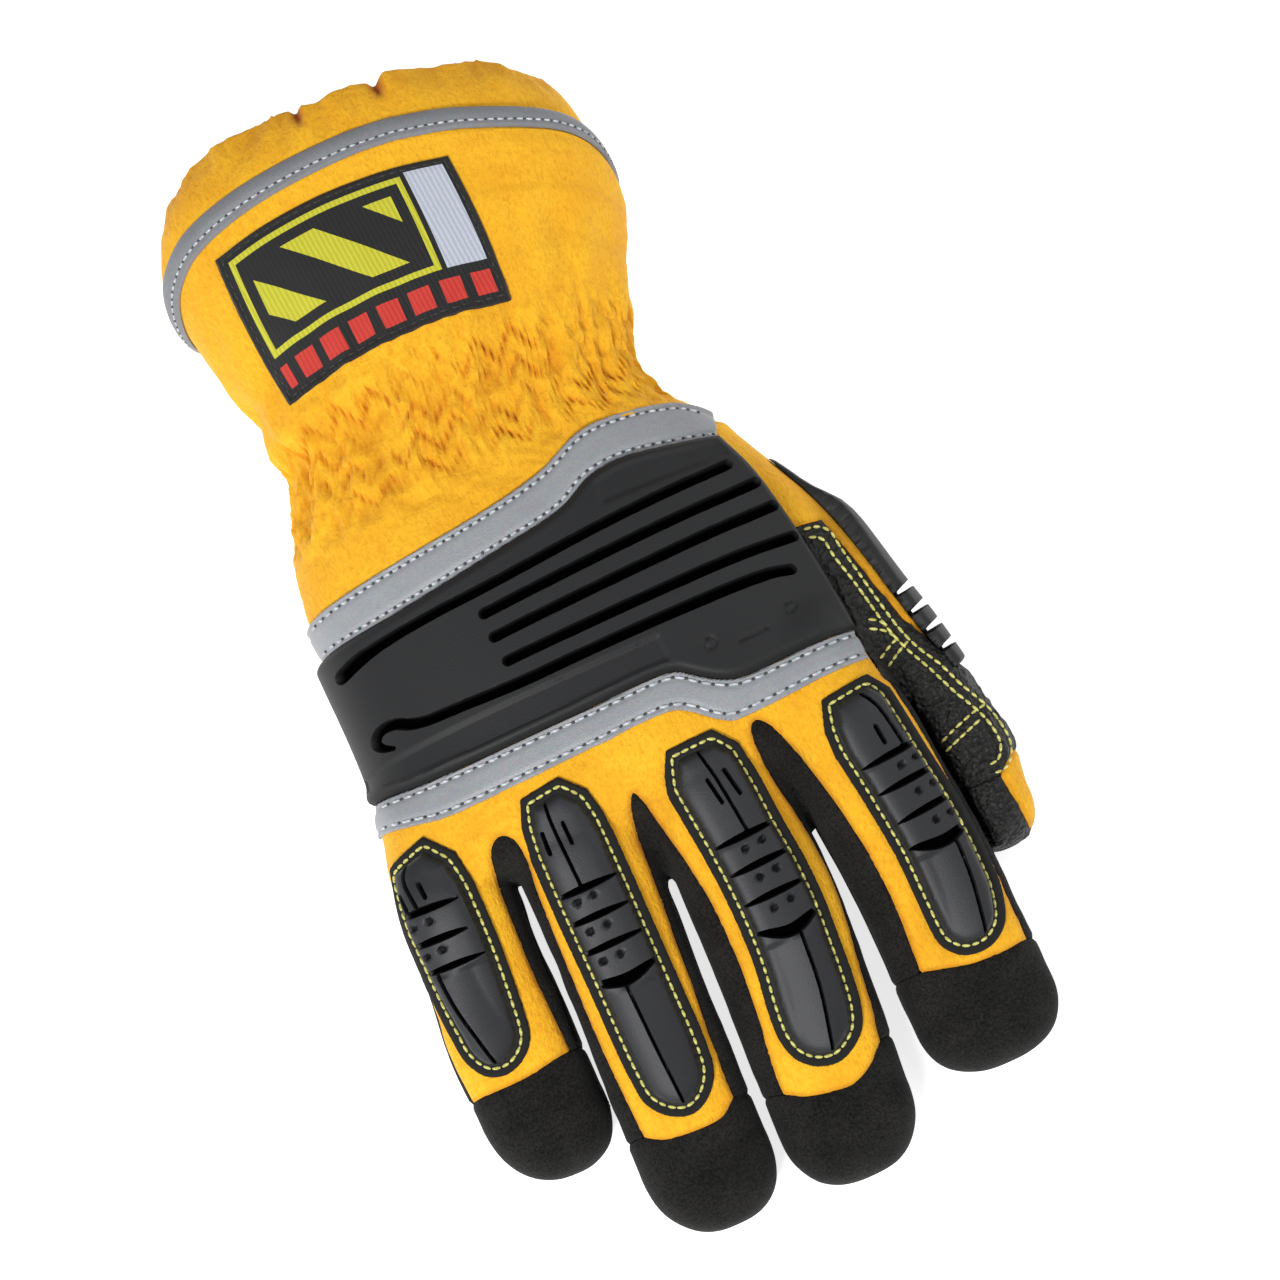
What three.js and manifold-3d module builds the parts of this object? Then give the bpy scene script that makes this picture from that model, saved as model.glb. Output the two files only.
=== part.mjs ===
// Padded extrication glove for the right hand, lying palm down with its back up.
// Millimetres, +Z up. The fingers point to -Y, the thumb lies at +X, the cuff opens at +Y.
// The glove is one hollow form, lofted from the section tables below and cut along its seams
// into the sewn pieces. Guards, tapes and the patch are layers that lie on the same form.

import * as THREE from 'three';
import { mergeVertices } from 'three/addons/utils/BufferGeometryUtils.js';
import Module from 'manifold-3d';

const wasm = await Module();
wasm.setup();

// Driving dimensions
const WALL = 2;                 // fabric and lining
const GAP = 0.3;                // clear space between two sewn pieces
const TAPE_LIFT = 0.4;          // underside of tapes and patch above the fabric
const TAPE_THICK = 1;
const GUARD_LIFT = 0.3;         // underside of the moulded guards above the fabric
const GUARD_FLANGE = 1.5;       // sewn flange of a finger guard, top face above the fabric
const GUARD_TOP = 3.9;          // raised body of a finger guard, top face above the fabric
const SLOT_FLOOR = 2.2;         // bottom of the knuckle guard's slots above the fabric
const KNUCKLE_TOP = 3.7;        // top face of the knuckle guard above the fabric
const CENTRE_X = 4.4;           // from the drafting frame to the middle of the whole glove
const CENTRE_Y = -3.3;
const BELOW = -10;              // under and over everything, for the cutters
const ABOVE = 90;
const FAR = 200;                // past every side of the glove
const SECTION_POWER = 2.4;      // 2 is an ellipse, more is boxier
const HAND_SIDES = 20;
const FINGER_SIDES = 10;
const CUFF_SIDES = 28;          // two for each gather of the elastic
const TIP_STEPS = [0.45, 0.8, 0.97];  // rings of a round fingertip, as shares of its length
const CAP_STEPS = 4;            // straight pieces of a fingertip cap's curved seam
const OVERRUN = 5;              // how far a bore's cutter runs out of both ends
const LOWER_LEAN = 0.3;         // share of a section's lean that its under half takes

// A table row becomes an object with the named columns.
function table(columns, rows) {
  const names = columns.split(' ');
  return rows.map((row) => Object.fromEntries(names.map((name, i) => [name, row[i]])));
}

// Sections of the form: middle x, half width, lowest, widest and highest level at each y.
const SECTION = 'y x half low wide top';

const HAND = table(SECTION, [
  [60, -17.8, 43.4, 0, 20, 44.5],
  [38, -14.7, 52.7, -1, 19, 45],
  [24, -11.9, 55.9, -1, 19, 45],
  [-8, -10.6, 58.6, -1, 19, 44],
  [-26, -12.1, 62.3, 1, 19, 43.5],
  [-36, -11, 60, 4, 20, 40],
  [-42, -3, 43, 9, 20, 34],
  [-51, 1, 33, 15, 20, 24],
]);

const FINGERS = {
  little: {
    rows: table(SECTION, [
      [-18, -61.5, 11, 6, 18, 34],
      [-36, -62.5, 13.8, 8, 20, 36],
      [-68, -64.1, 14.3, 5.5, 17, 28.2],
      [-87, -64.3, 14.3, 0, 12, 23],
    ]),
    tip: { x: -63, y: -103.8 },
  },
  ring: {
    rows: table(SECTION, [
      [-18, -33, 12, 6, 20, 39],
      [-36, -32.2, 15.6, 10, 23, 40.5],
      [-75, -33.2, 15, 7.5, 19, 30.8],
      [-112, -34.6, 15.1, 0, 11, 21.5],
    ]),
    tip: { x: -34, y: -129.4 },
  },
  middle: {
    rows: table(SECTION, [
      [-18, 1, 13, 6, 20, 40],
      [-36, 1.3, 15.8, 10, 24, 41.5],
      [-70, 1.5, 16.9, 8.5, 21, 34],
      [-115, -1.3, 16.1, 0, 11, 21.5],
    ]),
    tip: { x: -1.5, y: -131.5 },
  },
  index: {
    rows: table(SECTION, [
      [-18, 33, 12, 6, 19, 38],
      [-36, 34.2, 15.6, 10, 23, 40],
      [-72, 37.3, 16.8, 7.5, 18, 30.6],
      [-106, 38, 17, 0, 11, 21.5],
    ]),
    tip: { x: 38, y: -121.1 },
  },
};

const THUMB = {
  rows: table(SECTION, [
    [36, 25, 11.5, 2, 17, 32],
    [14, 37, 14.5, -1, 16, 33],
    [-14, 47.5, 13, -1, 14, 29.5],
    [-40, 56.6, 10.7, -1, 11.5, 24],
    [-52, 59, 10.7, -1, 11, 22],
    [-64, 58.4, 10, -1, 10.5, 20.5],
  ]),
  tip: { x: 58.8, y: -76.2 },
};
const SQUEEZE_FROM = -34;       // past this y the thumb and the index finger are apart
const SQUEEZE_GAP = 0.5;        // and this far apart at least
const OWN_SKIN = 0.15;          // a digit grown by this holds its own walls and no neighbour's

// Gauntlet cuff. lean tips a section over, so that its top is further back than its sides.
// gather is the depth of the elastic's folds, and its sign turns the folds over row by row.
const CUFF_SECTION = 'y x half low wide top lean gather';
const CUFF = table(CUFF_SECTION, [
  [24, -11.9, 55.9, -1, 19, 45, 0, 0],
  [38, -14.7, 52.7, -1, 19, 45, 0, 0],
  [54, -18, 45.3, 0, 20, 44.5, 0, 0.3],
  [61, -17.8, 43.4, 1.5, 20, 44.5, 0.05, -1],
  [68, -16.4, 43, 2, 21, 45.7, 0.1, 1.2],
  [75, -16, 44.4, 2, 22.5, 49, 0.18, -1.1],
  [83, -15.1, 46.8, 1.5, 25, 53, 0.27, 0.5],
  [104.2, -14.6, 53, 1.5, 30.5, 61.5, 0.5, 0],
  [111, -15.4, 53.2, 1.5, 31, 61.5, 0.5, 0],
]);
const TAPE_ROWS = CUFF.slice(-2);
const HEM = table(CUFF_SECTION, [
  [111.4, -15.4, 53.2, 1.5, 31, 61.5, 0.5, 0],
  [117.5, -15.2, 50.6, 2.5, 31, 60, 0.5, 0.9],
  [123.8, -14.6, 45, 4.5, 31, 57, 0.5, 1.6],
]);

// Height of the seam between the back and the palm, along the hand and along the thumb.
const SEAM = table('y z', [
  [70, 16], [20, 17], [-36, 21], [-60, 21.6], [-75, 19.5], [-95, 15], [-112, 12], [-140, 9],
]);
const THUMB_SEAM_Z = 9;

// Lines of the back, seen from above.
const LINE = 'x y';
const WRIST_TAPE_LINE = table(LINE, [
  [-76, 34], [-50, 36.4], [-20, 39.2], [-5, 42.4], [5, 47], [13, 48.3], [25, 47.4], [38, 42],
]);
const GUARD_TOP_LINE = table(LINE, [
  [-76, 26.4], [-50, 26.3], [-20, 29.6], [-4, 32.4], [4, 36.4], [12, 37.7], [24, 36.4], [34.5, 34.7],
]);
const GUARD_SIDE_LINE = table(LINE, [[34.5, 34.7], [38.5, 25], [42, 10], [44.5, -8], [45, -18.3]]);
const GUARD_FOOT_LINE = table(LINE, [
  [45, -18.3], [30, -19], [16.6, -19.2], [8.5, -15.2], [1, -11.8], [-20, -12.2], [-50, -12],
  [-76, -8.4],
]);
const KNUCKLE_TAPE_LINE = table(LINE, [
  [-76, -15.6], [-55, -20.8], [-20, -20.6], [0, -20.2], [8, -25.6], [15, -27.6], [30, -26.8],
  [46.2, -25.8],
]);
const CUFF_SEAM_LINE = table(LINE, [
  [-90, 30], [-50, 31.5], [-20, 34.5], [-4, 37.6], [5, 41.5], [13, 43], [25, 42], [33, 40.5],
  [60, 40.5],
]);

// Windows between the fingers, where the black side strips show, from the first fingertip
// round the crotch to the second.
const WINDOWS = {
  little_ring: table(LINE, [
    [-52.6, -79], [-53.7, -60], [-53.3, -45], [-51.2, -33], [-47.3, -29.9], [-43.9, -32.5],
    [-44.4, -45], [-46, -75], [-45.4, -104],
  ]),
  ring_middle: table(LINE, [
    [-22.5, -104], [-21, -80], [-19.5, -58], [-18.4, -38], [-14.7, -33.6], [-12.4, -41],
    [-9.9, -62], [-10.2, -86], [-12.5, -107],
  ]),
  middle_index: table(LINE, [
    [13.2, -106], [16, -89], [17.7, -71], [15.4, -50], [13.7, -36], [16.7, -29.5], [21.6, -34.5],
    [26, -53], [28, -75], [27.1, -96],
  ]),
};
const WINDOW_REACH = -140;      // each window runs on past its fingertips
const INDEX_EDGE = table(LINE, [[45.6, -20], [49.8, -48], [52.2, -78], [52.2, -100]]);

// Seam of each fingertip cap: its level at the finger's left, middle and right.
const CAPS = table('finger left mid right', [
  ['little', -80.6, -81, -79],
  ['ring', -103.6, -107.2, -103.6],
  ['middle', -107.6, -112, -105.2],
  ['index', -95.2, -98, -97.8],
]);

// Plan of each finger guard: chamfered head by the knuckle, round toe by the fingertip.
const GUARD_COLUMNS = 'finger headX headY bellyX bellyY toeX toeY headHalf bellyHalf firstGroove grooves';
const FINGER_GUARDS = table(GUARD_COLUMNS, [
  ['little', -67.6, -22, -67.9, -52, -67.6, -78.6, 5, 9.5, -37.5, 3],
  ['ring', -34.3, -23.9, -32.9, -62, -32.8, -103.3, 5, 9.6, -47, 4],
  ['middle', 0.8, -27.6, 3.7, -64, 2, -106, 5.6, 9.9, -51, 4],
  ['index', 37.6, -30.6, 41.6, -62, 41.6, -96.3, 5.8, 9.3, -48, 4],
]);
const GROOVE_STEP = 7;
const GROOVE_WIDTH = 1.3;
const BODY_INSET = 3.3;         // raised body inside the sewn flange
const HEAD_TAPER = 7;           // length over which a guard's head widens
const HEAD_SHARE = 0.9;         // a guard's width where its head ends, as a share of its belly's
const TOE_LENGTH = 12;
const TOE_SHARE = 0.97;         // and where its toe starts
const TOE_STEPS = 5;
const ON_TOP = 15;              // the finger guards lie above this level

// Slots moulded into the knuckle guard, as centre lines from above.
const KNUCKLE_SLOTS = [
  table(LINE, [[-65, 21.6], [-30, 22.4], [33, 26.6]]),
  table(LINE, [[-29.5, 17.1], [37, 20.5]]),
  table(LINE, [[-29.5, 11.4], [38.5, 14.2]]),
  table(LINE, [[-29, 5.1], [40, 6.2]]),
  table(LINE, [[-63.5, 2.6], [-55, 2], [-48, 0.2], [37, -0.8]]),
];
const SLOT_WIDTH = 2.5;

// Yellow outer side of the thumb, and the moulded guard on it, from above.
const THUMB_ROOT_LINE = table(LINE, [
  [31, 60], [33, 44], [36, 32], [39.5, 20], [42, 8.6], [43.8, -8], [45.6, -20], [48, SQUEEZE_FROM],
]);
const THUMB_EDGE_LINE = table(LINE, [
  [42, 8.6], [48.6, 8.6], [50.9, 0.2], [57, -19.8], [62, -35.5], [65.8, -49.1], [66.4, -55],
  [65.4, -59], [62.7, -61.1], [64.7, -74], [65, -90],
]);
const THUMB_GUARD_LINE = table(LINE, [
  [42.5, 27.5], [46.5, 19.5], [51.3, 9.5], [55, 0], [58.2, -14], [62.4, -30], [65, -36],
]);
const THUMB_TIP_Y = -61.1;
const THUMB_GUARD_LOW = 4;
const THUMB_GUARD_HIGH = 26;
const THUMB_GUARD_THICK = 3;
const TOOTH_ROOT = 1.2;         // thickness left between the teeth
const TOOTH_GAPS = [-13, -19, -25, -31];
const TOOTH_GAP = 1.7;

// Woven patch on the cuff
const PATCH_LOW = 31;
const PATCH = table(LINE, [
  [-53.5, 116.4], [-24, 118.4], [5, 115], [5.8, 98], [5, 80], [-24, 82.2], [-51.4, 80], [-53.6, 98],
]);

// Solids out of three.js geometry
function solid(geometry) {
  geometry.deleteAttribute('normal');
  geometry.deleteAttribute('uv');
  const merged = mergeVertices(geometry, 1e-4);
  const mesh = new wasm.Mesh({
    numProp: 3,
    vertProperties: new Float32Array(merged.attributes.position.array),
    triVerts: new Uint32Array(merged.index.array),
  });
  return new wasm.Manifold(mesh);
}

const join = (solids) => solids.reduce((all, one) => all.add(one));

// One ring of a loft, grown outwards by `grow`.
function ring(row, sides, grow) {
  const points = [];
  for (let i = 0; i < sides; i++) {
    const turn = (2 * Math.PI * i) / sides;
    const across = Math.sign(Math.cos(turn)) * Math.abs(Math.cos(turn)) ** (2 / SECTION_POWER);
    const rise = Math.sign(Math.sin(turn)) * Math.abs(Math.sin(turn)) ** (2 / SECTION_POWER);
    const fold = (row.gather ?? 0) * (i % 2 ? 1 : -1);
    const height = rise > 0 ? row.top - row.wide : row.wide - row.low;
    const z = row.wide + rise * (height + grow + fold);
    const lean = (row.lean ?? 0) * (rise > 0 ? 1 : LOWER_LEAN);
    const x = row.x + across * (row.half + grow + fold);
    points.push(new THREE.Vector3(x, row.y + lean * (z - row.wide), z));
  }
  return points;
}

// Closed loft through rings, each end closed by a fan round its middle.
function loft(rings) {
  const sides = rings[0].length;
  const total = (points) => points.reduce((sum, p) => sum.add(p), new THREE.Vector3());
  const middle = (points) => total(points).divideScalar(sides);
  const vertices = [...rings.flat(), middle(rings[0]), middle(rings.at(-1))];
  const faces = [];
  for (let r = 0; r + 1 < rings.length; r++) {
    for (let i = 0; i < sides; i++) {
      const a = r * sides + i;
      const b = r * sides + ((i + 1) % sides);
      faces.push(a, b, a + sides, b, b + sides, a + sides);
    }
  }
  const last = (rings.length - 1) * sides;
  for (let i = 0; i < sides; i++) {
    const next = (i + 1) % sides;
    faces.push(vertices.length - 2, next, i);
    faces.push(vertices.length - 1, last + i, last + next);
  }
  if (rings.at(-1)[0].y > rings[0][0].y) faces.reverse();
  const geometry = new THREE.BufferGeometry().setFromPoints(vertices);
  geometry.setIndex(faces);
  return solid(geometry);
}

// Rings of a finger or the thumb: its table rows, then a round tip.
function digitRings(digit, grow) {
  const end = digit.rows.at(-1);
  const reach = end.y - digit.tip.y + grow;
  const rings = digit.rows.map((row) => ring(row, FINGER_SIDES, grow));
  for (const part of TIP_STEPS) {
    const narrow = (1 - part ** SECTION_POWER) ** (1 / SECTION_POWER);
    rings.push(ring({
      y: end.y - part * reach,
      x: THREE.MathUtils.lerp(end.x, digit.tip.x, part),
      half: (end.half + grow) * narrow - grow,
      low: end.wide - (end.wide - end.low + grow) * narrow + grow,
      wide: end.wide,
      top: end.wide + (end.top - end.wide + grow) * narrow - grow,
    }, FINGER_SIDES, grow));
  }
  return rings;
}

// Outlines seen from above become upright prisms, and profiles seen from the side level ones.
const plan = (rows) => rows.map((row) => new THREE.Vector2(row.x, row.y));

function prism(points, low = BELOW, high = ABOVE) {
  const options = { depth: high - low, bevelEnabled: false };
  return solid(new THREE.ExtrudeGeometry(new THREE.Shape(points), options).translate(0, 0, low));
}

function sidePrism(points, left, right) {
  const options = { depth: right - left, bevelEnabled: false };
  const turn = new THREE.Matrix4().makeBasis(
    new THREE.Vector3(0, 1, 0), new THREE.Vector3(0, 0, 1), new THREE.Vector3(1, 0, 0));
  const geometry = new THREE.ExtrudeGeometry(new THREE.Shape(points), options).applyMatrix4(turn);
  return solid(geometry.translate(left, 0, 0));
}

function box(low, high) {
  const size = high.map((value, i) => value - low[i]);
  const middle = high.map((value, i) => (value + low[i]) / 2);
  return solid(new THREE.BoxGeometry(...size).translate(...middle));
}

// An outline moved outwards by `by`, or inwards where that is negative.
function grown(points, by) {
  const outward = THREE.ShapeUtils.isClockWise(points) ? -1 : 1;
  return points.map((point, i) => {
    const before = points[(i + points.length - 1) % points.length];
    const after = points[(i + 1) % points.length];
    const along = after.clone().sub(before).setLength(outward * by);
    return new THREE.Vector2(point.x + along.y, point.y - along.x);
  });
}

// A band of the given width along a centre line.
function strip(line, width) {
  const side = (sign) => line.map((point, i) => {
    const before = line[Math.max(i - 1, 0)];
    const after = line[Math.min(i + 1, line.length - 1)];
    const along = after.clone().sub(before).setLength((sign * width) / 2);
    return new THREE.Vector2(point.x - along.y, point.y + along.x);
  });
  return [...side(1), ...side(-1).reverse()];
}

// The whole hand, grown by `grow`. The thumb keeps clear of the index finger beside it.
const floorCut = (level) => box([-FAR, -FAR, BELOW], [FAR, FAR, level]);
const pastSqueeze = box([0, -FAR, BELOW], [FAR, SQUEEZE_FROM, ABOVE]);
const formCache = new Map();
function form(grow) {
  if (!formCache.has(grow)) {
    const hand = loft(HAND.map((row) => ring(row, HAND_SIDES, grow)));
    const fingers = Object.values(FINGERS).map((finger) => loft(digitRings(finger, grow)));
    const beside = loft(digitRings(FINGERS.index, SQUEEZE_GAP - grow)).intersect(pastSqueeze);
    const thumb = loft(digitRings(THUMB, grow)).subtract(beside);
    formCache.set(grow, join([hand, ...fingers, thumb]).subtract(floorCut(Math.max(0, -grow))));
  }
  return formCache.get(grow);
}
const layer = (low, high) => form(high).subtract(form(low));

// An open tube of cuff wall between two levels above the cuff's own form.
function sleeve(rows, low, high) {
  const outer = rows.map((row) => ring(row, CUFF_SIDES, high));
  const inner = rows.map((row) => ring(row, CUFF_SIDES, low));
  const shift = (points, by) => points.map((p) => p.clone().add(new THREE.Vector3(0, by, 0)));
  const bore = [shift(inner[0], -OVERRUN), ...inner, shift(inner.at(-1), OVERRUN)];
  return loft(outer).subtract(loft(bore)).subtract(floorCut(0));
}

// A line closed into an outline by two corners, at the given reach in y or in x.
function closedAtY(line, y) {
  return [...line, new THREE.Vector2(line.at(-1).x, y), new THREE.Vector2(line[0].x, y)];
}

function closedAtX(line, x) {
  return [...line, new THREE.Vector2(x, line.at(-1).y), new THREE.Vector2(x, line[0].y)];
}

const moved = (line, dx, dy) => line.map((p) => new THREE.Vector2(p.x + dx, p.y + dy));

// Seam cutters. Each is made twice: as it is for the piece inside it, and one gap wider for the rest.
function seamSide(lower) {
  const line = SEAM.map((row) => new THREE.Vector2(row.y, row.z - lower));
  return sidePrism(closedAtY(line, ABOVE), -FAR, FAR);
}

function cuffSide(lower) {
  return prism(closedAtY(moved(plan(CUFF_SEAM_LINE), 0, -lower), FAR));
}

function thumbSide(wider) {
  const root = prism(closedAtX(moved(plan(THUMB_ROOT_LINE), -wider, 0), FAR));
  const free = loft(digitRings(THUMB, OWN_SKIN)).subtract(loft(digitRings(FINGERS.index, OWN_SKIN)));
  return root.add(free.intersect(pastSqueeze));
}

function capSide(cap, raise) {
  const finger = FINGERS[cap.finger];
  const { x, half } = finger.rows.at(-1);
  const reach = half + 1;
  const line = new THREE.QuadraticBezierCurve(
    new THREE.Vector2(x - reach, cap.left + raise),
    new THREE.Vector2(x, 2 * cap.mid - (cap.left + cap.right) / 2 + raise),
    new THREE.Vector2(x + reach, cap.right + raise)).getPoints(CAP_STEPS);
  return prism(closedAtY(line, WINDOW_REACH)).intersect(loft(digitRings(finger, OWN_SKIN)));
}

function windowSide(rows, wider) {
  const points = closedAtY(plan(rows), WINDOW_REACH);
  return prism(wider ? grown(points, wider) : points);
}

function indexEdgeSide(wider) {
  return prism(closedAtX(moved(plan(INDEX_EDGE), -wider, 0), FAR));
}

// Plan of a finger guard, `inset` inside its outer edge.
function guardOutline(guard, inset) {
  const half = guard.bellyHalf - inset;
  const head = guard.headHalf - inset / 2;
  const headY = guard.headY - inset;
  const slope = (guard.toeX - guard.headX) / (guard.toeY - guard.headY);
  const shoulder = half * HEAD_SHARE;
  const points = [[-head, headY], [-shoulder, headY - HEAD_TAPER], [-half, guard.bellyY]];
  for (let i = 0; i <= TOE_STEPS; i++) {
    const turn = (Math.PI * i) / TOE_STEPS;
    const y = guard.toeY + inset + TOE_LENGTH * (1 - Math.sin(turn));
    points.push([-half * TOE_SHARE * Math.cos(turn), y]);
  }
  points.push([half, guard.bellyY], [shoulder, headY - HEAD_TAPER], [head, headY]);
  const bulge = guard.bellyX - (guard.headX + slope * (guard.bellyY - guard.headY));
  return points.map(([offset, y]) => {
    const along = (y - guard.headY) / (guard.toeY - guard.headY);
    const x = guard.headX + slope * (y - guard.headY) + bulge * 4 * along * (1 - along);
    return new THREE.Vector2(x + offset, y);
  });
}

function fingerGuard(guard) {
  const grooves = [];
  for (let i = 0; i < guard.grooves; i++) {
    const y = guard.firstGroove - i * GROOVE_STEP;
    grooves.push(box([guard.bellyX - guard.bellyHalf, y - GROOVE_WIDTH / 2, ON_TOP],
      [guard.bellyX + guard.bellyHalf, y + GROOVE_WIDTH / 2, ABOVE]));
  }
  const grooved = prism(guardOutline(guard, BODY_INSET), ON_TOP).subtract(join(grooves));
  const body = form(GUARD_TOP).intersect(grooved);
  const flange = form(GUARD_FLANGE).intersect(prism(guardOutline(guard, 0), ON_TOP));
  return flange.add(body).subtract(form(GUARD_LIFT));
}

// The sewn pieces of the hand
const shell = form(0).subtract(form(-WALL));
const handShell = shell.subtract(cuffSide(GAP)).subtract(thumbSide(GAP));
const thumbShell = shell.subtract(cuffSide(GAP)).intersect(thumbSide(0));

const nodes = {};
let body = handShell;
for (const cap of CAPS) {
  nodes[`${cap.finger}_cap`] = handShell.intersect(capSide(cap, 0));
  body = body.subtract(capSide(cap, GAP));
}
const back = body.intersect(seamSide(0));
nodes.palm = body.subtract(seamSide(GAP));
nodes.index_side = back.intersect(indexEdgeSide(0));
let yellow = back.subtract(indexEdgeSide(GAP));
for (const [name, rows] of Object.entries(WINDOWS)) {
  nodes[`side_strip_${name}`] = back.intersect(windowSide(rows, 0));
  yellow = yellow.subtract(windowSide(rows, GAP));
}
nodes.back_panel = yellow;

// Thumb
const outerOutline = [
  ...plan(THUMB_EDGE_LINE), new THREE.Vector2(FAR, -FAR), new THREE.Vector2(FAR, FAR),
  new THREE.Vector2(0, FAR), new THREE.Vector2(0, THUMB_EDGE_LINE[0].y),
];
const outerSide = (wider) => prism(grown(outerOutline, wider));
const thumbOver = (lower) => box([0, -FAR, THUMB_SEAM_Z - lower], [FAR, FAR, ABOVE]);
const pastTip = (y) => box([0, -FAR, BELOW], [FAR, y, ABOVE]);
const overThumb = thumbShell.intersect(thumbOver(0));
nodes.thumb_palm = thumbShell.subtract(thumbOver(GAP));
nodes.thumb_back = overThumb.intersect(outerSide(0));
const innerThumb = overThumb.subtract(outerSide(GAP));
nodes.thumb_saddle = innerThumb.subtract(pastTip(THUMB_TIP_Y));
nodes.thumb_tip = innerThumb.intersect(pastTip(THUMB_TIP_Y - GAP));

// Cuff
const cuffTube = sleeve(CUFF, -WALL, 0);
nodes.cuff = cuffTube.intersect(cuffSide(0));
nodes.cuff_hem = sleeve(HEM, -WALL, 0);
nodes.cuff_tape = sleeve(TAPE_ROWS, TAPE_LIFT, TAPE_LIFT + TAPE_THICK);
nodes.cuff_patch = sleeve(CUFF, TAPE_LIFT, TAPE_LIFT + TAPE_THICK)
  .intersect(prism(plan(PATCH), PATCH_LOW));

// Tapes and guards on the back
const onBack = seamSide(0);
const between = (upper, lower) => prism([...upper, ...lower.reverse()]);
const wristForm = (grow) => form(grow).add(loft(CUFF.map((row) => ring(row, CUFF_SIDES, grow))));
const wristBand = between(plan(WRIST_TAPE_LINE), moved(plan(GUARD_TOP_LINE), 0, GAP));
nodes.wrist_tape = wristForm(TAPE_LIFT + TAPE_THICK).intersect(onBack).intersect(wristBand)
  .subtract(wristForm(TAPE_LIFT));
const knuckleBand = between(moved(plan(GUARD_FOOT_LINE), 0, -GAP).reverse(), plan(KNUCKLE_TAPE_LINE));
nodes.knuckle_tape = layer(TAPE_LIFT, TAPE_LIFT + TAPE_THICK).intersect(onBack).intersect(knuckleBand);
const knuckleOutline = [
  ...plan(GUARD_TOP_LINE), ...plan(GUARD_SIDE_LINE).slice(1), ...plan(GUARD_FOOT_LINE).slice(1),
];
const slots = join(KNUCKLE_SLOTS.map((line) => prism(strip(plan(line), SLOT_WIDTH))));
nodes.knuckle_guard = layer(GUARD_LIFT, KNUCKLE_TOP).intersect(onBack).intersect(prism(knuckleOutline))
  .subtract(slots.subtract(form(SLOT_FLOOR)));
for (const guard of FINGER_GUARDS) nodes[`${guard.finger}_guard`] = fingerGuard(guard);

// Moulded guard on the outer side of the thumb, its edge cut into teeth
const guardSide = closedAtX(plan(THUMB_GUARD_LINE), FAR);
const gapLeft = THUMB_GUARD_LINE[0].x;
const toothGaps = join(TOOTH_GAPS.map((y) => (
  box([gapLeft, y - TOOTH_GAP / 2, BELOW], [FAR, y + TOOTH_GAP / 2, ABOVE]))));
nodes.thumb_guard = layer(GUARD_LIFT, THUMB_GUARD_THICK)
  .intersect(prism(guardSide, THUMB_GUARD_LOW, THUMB_GUARD_HIGH))
  .subtract(toothGaps.subtract(form(TOOTH_ROOT)));

// Materials: colour, roughness
const FINISH = {
  yellow: { color: 0xf5b32b, roughness: 0.9 },
  suede: { color: 0x1c1b19, roughness: 0.95 },
  rubber: { color: 0x3c3e42, roughness: 0.55 },
  tape: { color: 0x93979c, roughness: 0.45 },
  patch: { color: 0x15151a, roughness: 0.8 },
};
const FINISH_OF = {
  cuff: 'yellow', cuff_hem: 'yellow', back_panel: 'yellow', thumb_back: 'yellow',
  cuff_tape: 'tape', wrist_tape: 'tape', knuckle_tape: 'tape', cuff_patch: 'patch',
  knuckle_guard: 'rubber', thumb_guard: 'rubber',
  little_guard: 'rubber', ring_guard: 'rubber', middle_guard: 'rubber', index_guard: 'rubber',
};

const glove = new THREE.Group();
glove.position.set(CENTRE_X, CENTRE_Y, 0);
for (const [name, body] of Object.entries(nodes)) {
  const { vertProperties, triVerts } = body.getMesh();
  const geometry = new THREE.BufferGeometry();
  geometry.setAttribute('position', new THREE.BufferAttribute(vertProperties, 3));
  geometry.setIndex(new THREE.BufferAttribute(triVerts, 1));
  geometry.computeVertexNormals();
  const material = new THREE.MeshStandardMaterial(FINISH[FINISH_OF[name] ?? 'suede']);
  const mesh = new THREE.Mesh(geometry, material);
  mesh.name = name;
  glove.add(mesh);
}

export default glove;
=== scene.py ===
import logging
import math
from dataclasses import dataclass, field
from enum import Enum
from functools import partial
from typing import Callable, Sequence

import bpy
import numpy as np
from mathutils import Matrix, Vector
from mathutils.bvhtree import BVHTree


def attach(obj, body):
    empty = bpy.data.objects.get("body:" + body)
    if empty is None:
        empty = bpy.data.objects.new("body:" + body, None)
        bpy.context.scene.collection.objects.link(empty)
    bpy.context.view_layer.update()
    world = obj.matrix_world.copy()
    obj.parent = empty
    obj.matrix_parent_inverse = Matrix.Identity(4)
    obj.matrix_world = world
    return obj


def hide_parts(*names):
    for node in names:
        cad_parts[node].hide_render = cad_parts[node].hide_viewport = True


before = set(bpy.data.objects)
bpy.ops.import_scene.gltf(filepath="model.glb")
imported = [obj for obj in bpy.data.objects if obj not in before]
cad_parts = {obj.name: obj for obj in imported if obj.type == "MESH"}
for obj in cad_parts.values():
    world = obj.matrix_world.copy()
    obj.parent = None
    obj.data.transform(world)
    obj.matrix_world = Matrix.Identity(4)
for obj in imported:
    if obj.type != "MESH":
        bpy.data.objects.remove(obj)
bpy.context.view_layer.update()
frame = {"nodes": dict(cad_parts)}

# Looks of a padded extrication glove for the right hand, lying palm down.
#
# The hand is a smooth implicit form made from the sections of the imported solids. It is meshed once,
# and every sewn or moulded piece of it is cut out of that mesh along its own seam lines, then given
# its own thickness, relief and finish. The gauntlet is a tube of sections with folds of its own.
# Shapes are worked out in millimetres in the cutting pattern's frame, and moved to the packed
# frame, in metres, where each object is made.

LOG = logging.getLogger("glove")
Array = np.ndarray
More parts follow.
